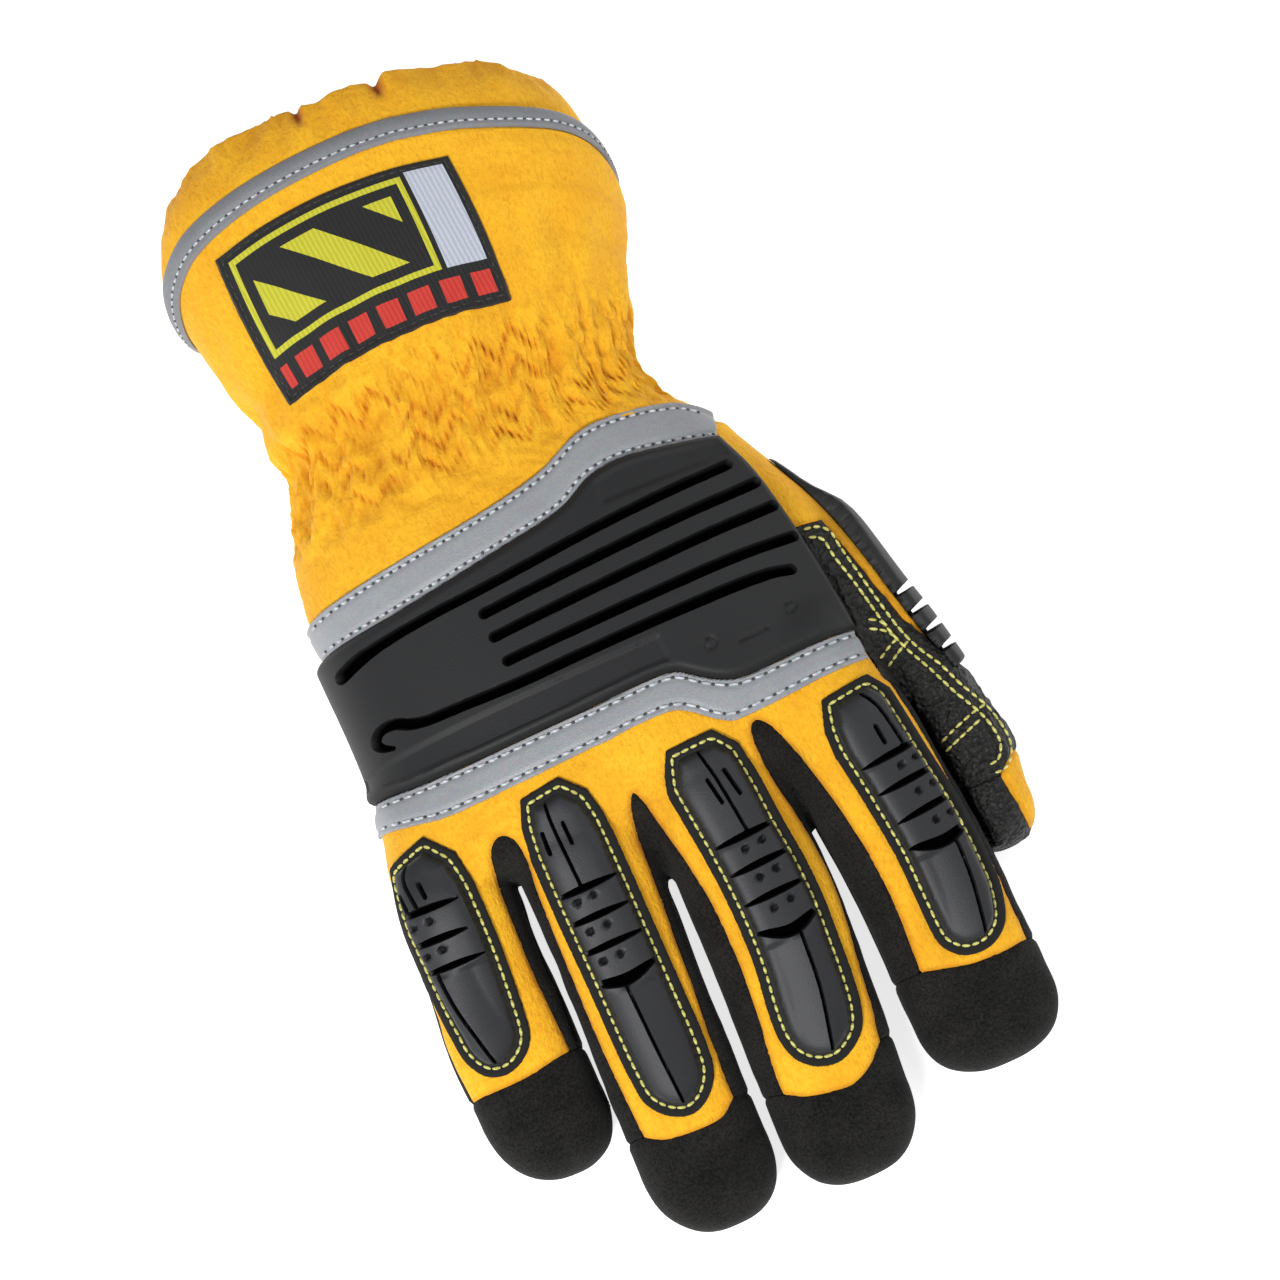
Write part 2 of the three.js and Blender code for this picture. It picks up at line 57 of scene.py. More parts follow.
Field = Callable[[Array], Array]

MM = 0.001
SHIFT = np.array([4.4, -3.3, 0.0])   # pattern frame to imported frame, in millimetres
BODY = "root"
POWER = 2.4                          # shape of a section: 2 is an ellipse, more is boxier
CELL = 1.0                           # spacing of the grid that meshes the hand
WALL = 1.7                           # cloth, padding and lining together
GUARD_RIM = 0.45                     # least height of a moulded guard above the hand's form
GUARD_BASE = 0.3                     # from the form up to the underside of a guard
SEAM_GAP = 0.08                      # from a seam's middle to either piece
FLOOR_CLEAR = 0.1                    # between the glove and the surface that it lies on


# Numbers along curves and surfaces
def ramp(x: Array, low: float, high: float) -> Array:
    """Rises smoothly from 0 at low to 1 at high."""
    t = np.clip((x - low) / (high - low), 0, 1)
    return t * t * (3 - 2 * t)


def dome(x: Array, width: float) -> Array:
    """Rises from 0 to 1 over the width like the edge of a rounded moulding."""
    return np.sqrt(1 - (1 - np.clip(x / width, 0, 1)) ** 2)


def bump(x: Array, width: float) -> Array:
    """A bell of height 1 at zero that fades over the width."""
    return np.exp(-((x / width) ** 2))


def unit(v: Array) -> Array:
    """Vectors made one long."""
    return v / np.maximum(np.linalg.norm(v, axis=-1, keepdims=True), 1e-9)


def noise(p: Array, size: float | Sequence[float], seed: int = 0) -> Array:
    """Smooth noise.

    Args:
        p: points, in rows or in a grid.
        size: size of its lumps, for all axes or one for each.
        seed: picks another pattern.

    Returns:
        A value from about -1 to 1 for each point.
    """
    q = p.reshape(-1, 3) / np.asarray(size, float) + 31.7 + 7.13 * seed
    cell = np.floor(q).astype(np.int64)
    t = q - cell
    t = t * t * t * (t * (t * 6 - 15) + 10)
    total = np.zeros(len(q))
    for corner in np.ndindex(2, 2, 2):
        at = cell + corner
        mix = at[:, 0] * 374761393 + at[:, 1] * 668265263 + at[:, 2] * 974634777 + seed * 362437
        mix = (mix ^ (mix >> 13)) * 1274126177 & 0x7fffffff
        value = ((mix ^ (mix >> 16)) & 0xffff) / 32767.5 - 1
        weight = np.prod(np.where(np.array(corner) == 1, t, 1 - t), axis=1)
        total += weight * value
    return total.reshape(p.shape[:-1])


def spline(points: Sequence[Sequence[float]], steps: int = 8, closed: bool = False) -> Array:
    """Runs a smooth curve through a few points.

    Args:
        points: the points, in any number of dimensions.
        steps: new points for each span.
        closed: whether the curve returns to its start.

    Returns:
        The curve's points, one row each.
    """
    knots = np.asarray(points, float)
    if closed:
        padded = np.vstack([knots[-1], knots, knots[0], knots[1]])
        spans = len(knots)
    else:
        padded = np.vstack([2 * knots[0] - knots[1], knots, 2 * knots[-1] - knots[-2]])
        spans = len(knots) - 1
    t = np.linspace(0, 1, steps, endpoint=False)[:, None]
    rows = []
    for i in range(spans):
        a, b, c, d = padded[i:i + 4]
        ab, bc, cd = (max(np.linalg.norm(q - p), 1e-6) ** 0.5 for p, q in ((a, b), (b, c), (c, d)))
        out = (c - b) + bc * ((b - a) / ab - (c - a) / (ab + bc))
        into = (c - b) + bc * ((d - c) / cd - (d - b) / (bc + cd))
        rows.append((2 * t**3 - 3 * t**2 + 1) * b + (t**3 - 2 * t**2 + t) * out
                    + (-2 * t**3 + 3 * t**2) * c + (t**3 - t**2) * into)
    if not closed:
        rows.append(knots[-1:])
    return np.vstack(rows)


def lengths(path: Array) -> Array:
    """How far along a path each of its points is."""
    return np.concatenate([[0], np.cumsum(np.linalg.norm(np.diff(path, axis=0), axis=1))])


def follow(path: Array, at: Array) -> Array:
    """The points at some distances along a path."""
    long = lengths(path)
    return np.stack([np.interp(at, long, way) for way in path.T], 1)


def line_distance(p: Array, line: Array) -> tuple[Array, Array]:
    """Measures from points to a line of points, both seen from above.

    Args:
        p: the points.
        line: the line's points in order.

    Returns:
        The distance of each point, and where along the line it is, from 0 to 1.
    """
    line = np.asarray(line, float)
    a, edge = line[:-1], np.diff(line, axis=0)
    long = np.linalg.norm(edge, axis=1)
    q = p[:, None, :2] - a
    t = np.clip((q * edge).sum(-1) / np.maximum(long**2, 1e-9), 0, 1)
    away = np.linalg.norm(q - t[..., None] * edge, axis=-1)
    nearest = away.argmin(1)
    rows = np.arange(len(p))
    before = np.concatenate([[0], np.cumsum(long)[:-1]])
    along = (before[nearest] + t[rows, nearest] * long[nearest]) / long.sum()
    return away[rows, nearest], along


def within(*regions: Field) -> Field:
    """The region that lies in all of some regions."""
    return lambda p: np.minimum.reduce([region(p) for region in regions])


def trimmed(region: Field, sign: int = 1) -> Field:
    """A region as it is cut, short of its seam, or with sign -1 what is left on the seam's other side."""
    return lambda p: sign * region(p) - SEAM_GAP


def edges_of(faces: Array) -> Array:
    """The edges of triangles, as pairs of vertices: all first edges, then all second and third ones."""
    return np.vstack([faces[:, [0, 1]], faces[:, [1, 2]], faces[:, [2, 0]]])


def quads_of(index: Array) -> Array:
    """The quads of a grid of vertex numbers."""
    return np.stack([index[:-1, :-1], index[:-1, 1:], index[1:, 1:], index[1:, :-1]], -1).reshape(-1, 4)


def border_of(grid: Array) -> Array:
    """The cells along the border of a grid, once round."""
    return np.concatenate([grid[0, :-1], grid[:-1, -1], grid[-1, :0:-1], grid[:0:-1, 0]])


class Line:
    """A line seen from above that runs across the glove, as y for each x."""

    def __init__(self, points: Sequence[Sequence[float]]) -> None:
        """Takes points in order of rising x."""
        self.x, self.y = spline(points).T
        self.slope = np.gradient(self.y, self.x)

    def at(self, x: Array) -> Array:
        """The line's y at each x."""
        return np.interp(x, self.x, self.y)

    def past(self, p: Array) -> Array:
        """Distance of each point past the line, towards the cuff."""
        slope = np.interp(p[:, 0], self.x, self.slope)
        return (p[:, 1] - self.at(p[:, 0])) / np.sqrt(1 + slope**2)


class Edge:
    """A line seen from above that runs along the glove, as x for each y."""

    def __init__(self, points: Sequence[Sequence[float]]) -> None:
        """Takes points in order of falling y."""
        self.x, self.y = spline(points)[::-1].T
        self.slope = np.gradient(self.x, self.y)

    def beyond(self, p: Array) -> Array:
        """Distance of each point beyond the line, towards the thumb."""
        slope = np.interp(p[:, 1], self.y, self.slope)
        return (p[:, 0] - np.interp(p[:, 1], self.y, self.x)) / np.sqrt(1 + slope**2)


class Outline:
    """A closed outline seen from above."""

    def __init__(self, points: Sequence[Sequence[float]], steps: int = 5) -> None:
        """Takes the outline's points in order, and how finely it is rounded between them."""
        self.points = spline(points, steps, closed=True) if steps else np.asarray(points, float)

    def inside(self, p: Array) -> Array:
        """Signed distance from the outline for each point, positive inside."""
        a = self.points
        b = np.roll(a, -1, axis=0)
        distance, _ = line_distance(p, np.vstack([a, a[:1]]))
        x, y = p[:, None, 0], p[:, None, 1]
        crosses = (a[:, 1] > y) != (b[:, 1] > y)
        drop = b[:, 1] - a[:, 1]
        at = a[:, 0] + (y - a[:, 1]) * (b[:, 0] - a[:, 0]) / np.where(np.abs(drop) < 1e-9, 1e-9, drop)
        odd = (crosses & (x < at)).sum(1) % 2 == 1
        return np.where(odd, distance, -distance)

    def inset(self, by: float) -> Array:
        """The outline's points moved inwards, for a row of stitches."""
        along = np.roll(self.points, -1, axis=0) - np.roll(self.points, 1, axis=0)
        side = unit(np.stack([-along[:, 1], along[:, 0]], 1))
        area = (self.points[:, 0] * np.roll(self.points[:, 1], -1)
                - self.points[:, 1] * np.roll(self.points[:, 0], -1)).sum()
        return self.points + side * by * np.sign(area)


# The form
class Tube:
    """A soft tube lofted along Y, closed by a round tip at its far end."""

    def __init__(self, rows: Sequence[Sequence[float]], tip: tuple[float, float] | None = None,
                 root_round: float = 12.0) -> None:
        """Sets the tube's shape.

        Args:
            rows: for each section its y, x, half width, lowest, widest and top level, from the cuff's end on.
            tip: the tip's x and y.
            root_round: how far the root is rounded past the first section.
        """
        dense = spline(rows, 10)
        self.table = dense[np.argsort(dense[:, 0])]
        self.start, self.end = rows[0][0], rows[-1][0]
        self.tip = tip
        self.root_round = root_round
        self.reach = self.end - tip[1] if tip else 6.0

    def distance(self, p: Array) -> Array:
        """Signed distance from the tube's surface for each point, negative inside."""
        y = np.clip(p[:, 1], self.end, self.start)
        x0, half, low, wide, top = (np.interp(y, self.table[:, 0], self.table[:, i]) for i in range(1, 6))
        past = np.maximum(self.end - p[:, 1], 0) / self.reach
        if self.tip:
            x0 = x0 + np.clip(past, 0, 1) * (self.tip[0] - self.table[0, 1])
        before = np.maximum(p[:, 1] - self.start, 0) / self.root_round
        height = np.where(p[:, 2] > wide, top - wide, wide - low)
        u = np.abs(p[:, 0] - x0) / half
        v = np.abs(p[:, 2] - wide) / height
        w = past + before
        reach = np.where(past > 0, self.reach, self.root_round)
        r = np.maximum((u**POWER + v**POWER + w**POWER) ** (1 / POWER), 1e-3)
        k = POWER - 1
        parts = (((way / r) ** k / size) ** 2 for way, size in ((u, half), (v, height), (w, reach)))
        slope = np.sqrt(sum(parts))
        return (r - 1) / np.maximum(slope, 1e-4)


def fillet_min(a: Array, b: Array, k: Array | float) -> Array:
    """Joins two distances with a fillet of about k."""
    k = np.maximum(k, 1e-3)
    h = np.maximum(k - np.abs(a - b), 0) / k
    return np.minimum(a, b) - h * h * k / 4


class GloveForm:
    """The whole hand as one implicit form."""

    WEB_FILLET = 3.6
    THUMB_FILLET = 8.0
    FLOOR_ROUND = 2.5
    APART_FROM = -34.0      # past this y the thumb and the index finger are apart
    APART = 1.1

    def __init__(self) -> None:
        """Sets the sections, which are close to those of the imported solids."""
        self.hand = Tube([
            (60, -18.1, 44.8, 0, 20, 44.5), (54, -18.7, 46.9, 0, 20, 44.5), (38, -15.3, 54.2, -1, 19, 45),
            (24, -12.3, 56.5, -1, 19, 45), (-8, -10.6, 58.6, -1, 19, 44), (-26, -12.1, 62.3, 1, 19, 43.5),
            (-34, -11, 60, 4, 20, 40), (-39, -4, 43, 9, 20, 34), (-45.5, 1, 33, 13, 20, 27.5)])
        self.fingers = {
            "little": Tube([
                (-18, -61.5, 11, 6, 18, 34), (-36, -62.6, 13.7, 8, 20, 36), (-52, -63.6, 13.7, 6.2, 18.5, 32),
                (-68, -64.2, 14.8, 5.5, 17, 28.2), (-87, -64.3, 14.4, 0, 12, 23)], (-63, -104.3)),
            "ring": Tube([
                (-18, -33, 12, 6, 20, 39), (-36, -32, 15.5, 10, 23, 40.5),
                (-52, -32.2, 15.3, 8.9, 21.4, 36.7), (-75, -33.3, 15.1, 7.5, 19, 30.8),
                (-112, -34.6, 15.2, 0, 11, 21.5)], (-34, -129.8)),
            "middle": Tube([
                (-18, 1, 13, 6, 20, 40), (-36, 1.3, 15.8, 10, 24, 41.5), (-52, 1.4, 16.7, 9.3, 22.6, 37.9),
                (-70, 1.5, 16.9, 8.5, 21, 34), (-115, -1.3, 16.1, 0, 11, 21.5)], (-1.3, -132.1)),
            "index": Tube([
                (-18, 33, 12, 6, 19, 38), (-36, 34.4, 15.7, 10, 23, 40), (-52, 35.5, 16.6, 8.9, 20.8, 35.9),
                (-72, 37.3, 16.8, 7.5, 18, 30.6), (-106, 38, 17, 0, 11, 21.5)], (38, -121.1)),
        }
        self.thumb = Tube([
            (36, 25, 11.5, 2, 17, 32), (14, 37, 14.5, -1, 16, 33), (-14, 47.5, 13, -1, 14, 29.5),
            (-40, 56.6, 10.7, -1, 11.5, 24), (-52, 59, 10.7, -1, 11, 22), (-64, 58.4, 10, -1, 10.5, 20.5)],
            (58.8, -76.2))

    def thumb_distance(self, p: Array) -> Array:
        """Distance from the thumb, which the index finger presses in where they lie side by side."""
        together = ramp(p[:, 1], self.APART_FROM - 4, self.APART_FROM + 6)
        pressed = self.APART - self.fingers["index"].distance(p) - 25 * together
        return np.maximum(self.thumb.distance(p), pressed)

    def distance(self, p: Array) -> Array:
        """Signed distance from the glove's outer surface, negative inside."""
        digits = np.full(len(p), 1e3)
        for finger in self.fingers.values():
            digits = np.minimum(digits, finger.distance(p))
        shape = fillet_min(self.hand.distance(p), digits, self.WEB_FILLET)
        fillet = self.THUMB_FILLET * ramp(p[:, 1], self.APART_FROM, self.APART_FROM + 20)
        shape = fillet_min(shape, self.thumb_distance(p), fillet)
        return -fillet_min(-shape, p[:, 2], self.FLOOR_ROUND)

    def normals(self, p: Array, step: float = 0.15) -> Array:
        """Outward directions at points near the surface."""
        slope = np.stack([self.distance(p + d) - self.distance(p - d) for d in np.eye(3) * step], -1)
        return unit(slope)


# Meshes
@dataclass
class Skin:
    """Triangles on the form's outer surface, with the outward direction at each vertex."""

    points: Array
    faces: Array
    out: Array

    def keep(self, mask: Array) -> "Skin":
        """The part made of the faces in the mask, with its spare vertices dropped."""
        used, index = np.unique(self.faces[mask], return_inverse=True)
        return Skin(self.points[used], index.reshape(-1, 3), self.out[used])

    def near(self, region: Field, reach: float = 2.5) -> "Skin":
        """The faces that come within reach of a region."""
        return self.keep((region(self.points)[self.faces] > -reach).any(1))

    def split(self, values: Field, levels: Sequence[float] = (0.0,), snap: float = 0.12) -> "Skin":
        """Adds edges along level lines of a value, so that a piece can be cut or stepped there.

        Args:
            values: gives the value at each point.
            levels: the levels to follow.
            snap: a vertex this close to a level, in the value's units, is taken to be on it.

        Returns:
            The same surface with more triangles.
        """
        skin = self
        for level in levels:
            value = values(skin.points) - level
            value[np.abs(value) < snap] = 0.0
            side = np.sign(value)[skin.faces]
            crossed = (side.min(1) < 0) & (side.max(1) > 0)
            if crossed.any():
                skin = skin._split_along(value, crossed)
        return skin

    def _split_along(self, value: Array, crossed: Array) -> "Skin":
        """Splits the crossed faces where the value passes zero."""
        rest, cut = self.faces[~crossed], self.faces[crossed]
        ends = np.unique(np.sort(edges_of(cut), axis=1), axis=0)
        ends = ends[value[ends[:, 0]] * value[ends[:, 1]] < 0]
        t = (value[ends[:, 0]] / (value[ends[:, 0]] - value[ends[:, 1]]))[:, None]
        fresh = self.points[ends[:, 0]] * (1 - t) + self.points[ends[:, 1]] * t
        out = self.out[ends[:, 0]] * (1 - t) + self.out[ends[:, 1]] * t
        at = {(a, b): len(self.points) + i for i, (a, b) in enumerate(ends.tolist())}
        sign = np.sign(value).tolist()
        made = []
        for tri in cut.tolist():
            signs = [sign[i] for i in tri]
            lone = signs.index(0) if 0 in signs else next(
                i for i in range(3) if signs[i] != signs[i - 1] and signs[i] != signs[i - 2])
            a, b, c = tri[lone], tri[(lone + 1) % 3], tri[(lone + 2) % 3]
            if 0 in signs:
                middle = at[(min(b, c), max(b, c))]
                made += [[a, b, middle], [a, middle, c]]
            else:
                ab, ac = at[(min(a, b), max(a, b))], at[(min(a, c), max(a, c))]
                made += [[a, ab, ac], [ab, b, c], [ab, c, ac]]
        return Skin(np.vstack([self.points, fresh]), np.vstack([rest, np.array(made)]),
                    np.vstack([self.out, unit(out)]))

    def finer(self) -> "Skin":
        """Each triangle split into four."""
        ends, index = np.unique(np.sort(edges_of(self.faces), axis=1), axis=0, return_inverse=True)
        ab, bc, ca = index.reshape(3, -1) + len(self.points)
        out = unit(self.out[ends].sum(1))
        a, b, c = self.faces.T
        faces = np.vstack([np.stack(t, 1) for t in ((a, ab, ca), (ab, b, bc), (ca, bc, c), (ab, bc, ca))])
        return Skin(np.vstack([self.points, self.points[ends].mean(1)]), faces, np.vstack([self.out, out]))

    def cut(self, region: Field) -> "Skin":
        """The part where a region's value is positive, its border exactly on the zero line."""
        skin = self.near(region).split(region)
        return skin.keep(region(skin.points)[skin.faces].mean(1) > 0)

    def fine_cut(self, region: Field) -> "Skin":
        """The same part, with triangles a quarter of the size."""
        return self.near(region, 3).finer().cut(region)

    def solid(self, over: Array | float, under: Array | float) -> tuple[Array, Array]:
        """Gives the surface thickness.

        Args:
            over: height of the outer face above the form, for each vertex or for all.
            under: depth of the inner face below the form.

        Returns:
            Vertices and triangles of a closed shell, the outer face's vertices first.
        """
        count = len(self.points)
        over, under = (np.broadcast_to(height, count)[:, None] for height in (over, under))
        vertices = np.vstack([self.points + self.out * over, self.points - self.out * under])
        edges = edges_of(self.faces)
        key = edges[:, 0] * count + edges[:, 1]
        back = edges[:, 1] * count + edges[:, 0]
        a, b = edges[~np.isin(key, back)].T
        walls = np.vstack([np.stack([b, a, a + count], 1), np.stack([b, a + count, b + count], 1)])
        return vertices, np.vstack([self.faces, self.faces[:, ::-1] + count, walls])


def surface_net(form: GloveForm, low: Sequence[float], high: Sequence[float], cell: float) -> Skin:
    """Meshes the form's surface with one vertex in each grid cell that it crosses.

    Args:
        form: the implicit form.
        low: lowest corner of the grid.
        high: highest corner of the grid.
        cell: grid spacing.

    Returns:
        The surface, its vertices moved onto the form.
    """
    axes = [np.arange(low[i], high[i] + cell, cell) for i in range(3)]
    shape = tuple(len(a) for a in axes)
    values = np.empty(shape)
    grid_y, grid_z = np.meshgrid(axes[1], axes[2], indexing="ij")
    for i, x in enumerate(axes[0]):
        plane = np.stack([np.full(grid_y.size, x), grid_y.ravel(), grid_z.ravel()], 1)
        values[i] = form.distance(plane).reshape(grid_y.shape)
    cells = np.array(shape) - 1
    total = np.zeros((cells.prod(), 3))
    count = np.zeros(cells.prod())
    quads = []
    for axis in range(3):
        near, far = [slice(None)] * 3, [slice(None)] * 3
        near[axis], far[axis] = slice(0, -1), slice(1, None)
        a, b = values[tuple(near)], values[tuple(far)]
        crossing = np.argwhere((a < 0) != (b < 0))
        va, vb = a[tuple(crossing.T)], b[tuple(crossing.T)]
        place = crossing.astype(float)
        place[:, axis] += va / (va - vb)
        sides = [i for i in range(3) if i != axis]
        corners = []
        for du, dv in ((0, 0), (1, 0), (1, 1), (0, 1)):
            at = crossing.copy()
            at[:, sides[0]] -= du
            at[:, sides[1]] -= dv
            valid = (at >= 0).all(1) & (at < cells).all(1)
            flat = np.ravel_multi_index(np.clip(at, 0, cells - 1).T, cells)
            np.add.at(total, flat[valid], place[valid])
            np.add.at(count, flat[valid], 1)
            corners.append(np.where(valid, flat, -1))
        quad = np.stack(corners, 1)
        quads.append(quad[(quad >= 0).all(1)])
    used, index = np.unique(np.vstack(quads), return_inverse=True)
    index = index.reshape(-1, 4)
    points = total[used] / count[used][:, None] * cell + np.asarray(low)
    for _ in range(3):
        points = points - form.normals(points) * np.clip(form.distance(points), -0.6, 0.6)[:, None]
    out = form.normals(points, 0.5)
    faces = np.vstack([index[:, [0, 1, 2]], index[:, [0, 2, 3]]])
    a, b, c = (points[faces[:, i]] for i in range(3))
    inwards = (np.cross(b - a, c - a) * out[faces].sum(1)).sum(1) < 0
    faces[inwards] = faces[inwards][:, ::-1]
    return Skin(points, faces, out)


# The cutting pattern
class Pattern:
    """The glove's cutting pattern: which piece each point of the skin belongs to.

    Every region is a field that is positive inside the piece and gives about the distance from its
    border, in millimetres.
    """

    SEAM = np.array([(-140, 9), (-112, 12), (-95, 15), (-75, 19.5), (-60, 21.6), (-36, 21), (20, 17),
                     (70, 16)]).T
    THUMB_SEAM = 9.0

    CUFF_LINE = Line([(-90, 30), (-50, 31.5), (-20, 34.5), (-4, 37.6), (5, 41.5), (13, 43), (25, 42),
                      (33, 40.5), (60, 40.5)])
    WRIST_TAPE = Line([(-76, 34), (-66.7, 35.2), (-50, 36.4), (-20, 39.2), (-5, 42.4), (5, 47), (10, 48.1),
                       (18, 48.1), (25, 47.4), (30, 46.3), (34.2, 43.9), (38, 40)])
    GUARD_TOP = Line([(-76, 26.4), (-50, 26.3), (-20, 29.6), (-4, 32.4), (4, 36.4), (12, 37.7), (24, 36.4),
                      (34.5, 34.7), (40, 33)])
    GUARD_FOOT = Line([(-76, -8.4), (-64.7, -10.6), (-50, -12), (-20, -12.2), (1, -11.8), (4.9, -12.6),
                       (8.5, -15.2), (12, -17.5), (16.6, -19.3), (30, -19), (46, -18.3)])
    KNUCKLE_TAPE = Line([(-76, -15.6), (-64.6, -18.8), (-55, -20.8), (-20, -20.6), (0, -20.2), (4, -22.2),
                         (8, -25.5), (11.7, -27.5), (15, -27.7), (30, -26.8), (52, -25.6)])
    THUMB_ROOT = Edge([(31, 60), (33, 44), (36, 32), (39.5, 20), (42, 8.6), (43.8, -8), (45.6, -20),
                       (48, -34)])
    GUARD_SIDE = Edge([(33.6, 37.5), (34.5, 34.7), (38.5, 25), (42, 10), (44.5, -8), (45, -18.3),
                       (45.4, -26)])
    INDEX_EDGE = Edge([(46.4, -20), (48.2, -30.7), (50.5, -45.5), (52.1, -60), (53.2, -79.3), (53.2, -100)])
    WRIST_SIDE = Edge([(35.5, 60), (35.9, 46), (36.2, 41), (35, 35), (34, 20)])
    THUMB_TIP = -61.1
    THUMB_OUTER = [(0, 8.6), (42, 8.6), (49.6, 8.6), (52.2, 0.2), (54.6, -9.8), (57.4, -19.8), (61.2, -26),
                   (64.8, -31), (68, -36), (75, -38), (75, -55), (68.5, -56.5), (65.2, -59.3), (62.9, -61.1),
                   (64.7, -74), (65, -100), (150, -100), (150, 90), (0, 90)]
    WINDOWS = {
        "little_ring": [(-52.2, -78.5), (-52.6, -60.2), (-52.2, -45.8), (-51.4, -36.3), (-50.2, -31.9),
                        (-47.3, -29.9), (-44.8, -31.4), (-43.9, -35), (-44.8, -43.2), (-45.7, -60.5),
                        (-46.1, -79.9), (-45.6, -99.2), (-45.4, -104), (-45.4, -140), (-52.8, -140)],
        "ring_middle": [(-22.5, -103.1), (-21, -79.9), (-19.3, -60.7), (-18.3, -46.2), (-17.6, -37.7),
                        (-16.4, -34.6), (-15.5, -33.4), (-14.4, -35.4), (-13.2, -43.2), (-11.4, -51.2),
                        (-9.8, -62.8), (-9.6, -75.2), (-10.5, -89.7), (-12, -99.3), (-12.5, -106),
                        (-12.5, -145), (-22.5, -145)],
        "middle_index": [(13.1, -105), (14.6, -97.4), (16.2, -87.7), (17.7, -75.1), (18.2, -68.4),
                         (18.1, -60.8), (17, -51.2), (15.4, -43.6), (14.4, -35.8), (14.8, -31),
                         (16.3, -29.5), (18.4, -30.9),
                         (20.7, -35.7), (23.4, -46.3), (25.8, -56.8), (27.5, -68.3), (28, -79.8),
                         (27.2, -95.2), (27.2, -145), (13.1, -145)],
    }
    CAPS = {
        "little": [(-90, -80.4), (-77.2, -80.6), (-64.3, -80.8), (-53.1, -79.1), (-40, -78)],
        "ring": [(-60, -103), (-49, -103.3), (-45.8, -103.7), (-41.5, -106), (-34.5, -107.1), (-26.7, -106.7),
                 (-22.6, -103.9), (-19, -103.5), (-10, -103.5)],
        "middle": [(-30, -106), (-17, -106.4), (-12.4, -107.8), (-7.9, -110.2), (0, -111.9), (3.9, -111.9),
                   (8.9, -109.4), (13.2, -105.4), (17, -104.6), (30, -104)],
        "index": [(15, -94.5), (21, -94.9), (27.1, -95.3), (32.6, -96.7), (39.5, -98.2), (47.5, -98.4),
                  (52.2, -97.8), (70, -97.5)],
    }

    def __init__(self, form: GloveForm) -> None:
        """Takes the form, whose fingers tell neighbouring pieces apart."""
        self.form = form
        self.windows = {name: Outline(points, 4) for name, points in self.WINDOWS.items()}
        self.caps = {name: Line(points) for name, points in self.CAPS.items()}
        self.outer = Outline(self.THUMB_OUTER, 0)

    def back(self, p: Array) -> Array:
        """Above the seam between back and palm."""
        return p[:, 2] - np.interp(p[:, 1], *self.SEAM)

    def thumb(self, p: Array) -> Array:
        """On the thumb: beyond its root, or nearer to it than to the index finger where they are apart."""
        root = self.THUMB_ROOT.beyond(p)
        free = self.form.fingers["index"].distance(p) - self.form.thumb.distance(p)
        mix = ramp(p[:, 1], GloveForm.APART_FROM - 3, GloveForm.APART_FROM + 3)
        return free * (1 - mix) + root * mix

    def thumb_outer(self, p: Array) -> Array:
        """On the outer side of the thumb, past the leather."""
        return self.outer.inside(p)

    def hand(self, p: Array) -> Array:
        """On the hand or fingers, short of the cuff and the thumb."""
        return np.minimum(-self.CUFF_LINE.past(p), -self.thumb(p)) - SEAM_GAP

    def cap(self, name: str, p: Array) -> Array:
        """On the fingertip cap of one finger."""
        others = [tube.distance(p) for other, tube in self.form.fingers.items() if other != name]
        own = np.minimum.reduce(others) - self.form.fingers[name].distance(p)
        return np.minimum(-self.caps[name].past(p), own)

    def off_caps(self, p: Array) -> Array:
        """Clear of every fingertip cap."""
        return -np.maximum.reduce([self.cap(name, p) for name in self.caps]) - SEAM_GAP

    def window(self, name: str, p: Array) -> Array:
        """In the black window between two fingers."""
        return self.windows[name].inside(p)

    def off_windows(self, p: Array) -> Array:
        """Clear of every window."""
        return -np.maximum.reduce([self.window(name, p) for name in self.windows]) - SEAM_GAP


# Finishes in Blender's nodes
def linear(code: str) -> tuple[float, float, float, float]:
    """Turns an sRGB hex colour into linear red, green, blue and alpha."""
    parts = [int(code[i:i + 2], 16) / 255 for i in (1, 3, 5)]
    return (*(c / 12.92 if c <= 0.04045 else ((c + 0.055) / 1.055) ** 2.4 for c in parts), 1.0)


def put(tree: bpy.types.NodeTree, node: bpy.types.Node, inputs: dict) -> None:
    """Fills a node's inputs: a node's first output or a socket is linked, anything else is a value."""
    for key, value in inputs.items():
        if isinstance(value, bpy.types.Node):
            value = next(socket for socket in value.outputs if socket.enabled)
        if isinstance(value, bpy.types.NodeSocket):
            tree.links.new(value, node.inputs[key])
        else:
            node.inputs[key].default_value = value


def add(tree: bpy.types.NodeTree, kind: str, inputs: dict | None = None,
        **settings: object) -> bpy.types.Node:
    """Adds a node.

    Args:
        tree: the node tree.
        kind: the node's type, which may leave out that it is a shader node.
        inputs: values, sockets or nodes to put into its inputs, by name or number.
        settings: properties of the node.

    Returns:
        The new node.
    """
    node = tree.nodes.new(kind if "Node" in kind else f"ShaderNode{kind}")
    for key, value in settings.items():
        setattr(node, key, value)
    put(tree, node, inputs or {})
    return node


class Look(Enum):
    """The finishes of the glove's pieces."""

    YELLOW = "yellow stretch nylon"
    SUEDE = "black synthetic suede"
    LEATHER = "pebbled grip leather"
    RUBBER = "moulded rubber"
    KNUCKLE = "dull moulded rubber"
    TAPE = "silver reflective tape"
    CUFF_TAPE = "grey reflective piping"
    PATCH = "woven patch"
    LINING = "brushed lining"
    YELLOW_THREAD = "yellow green thread"
    GREY_THREAD = "pale grey thread"
    BLACK_THREAD = "black thread"
    FLOOR = "pale light table"
    PRICK = "needle prick"

    @property
    def kind(self) -> str:
        """The finish in one word, for a piece's name."""
        return self.value.split()[-1]


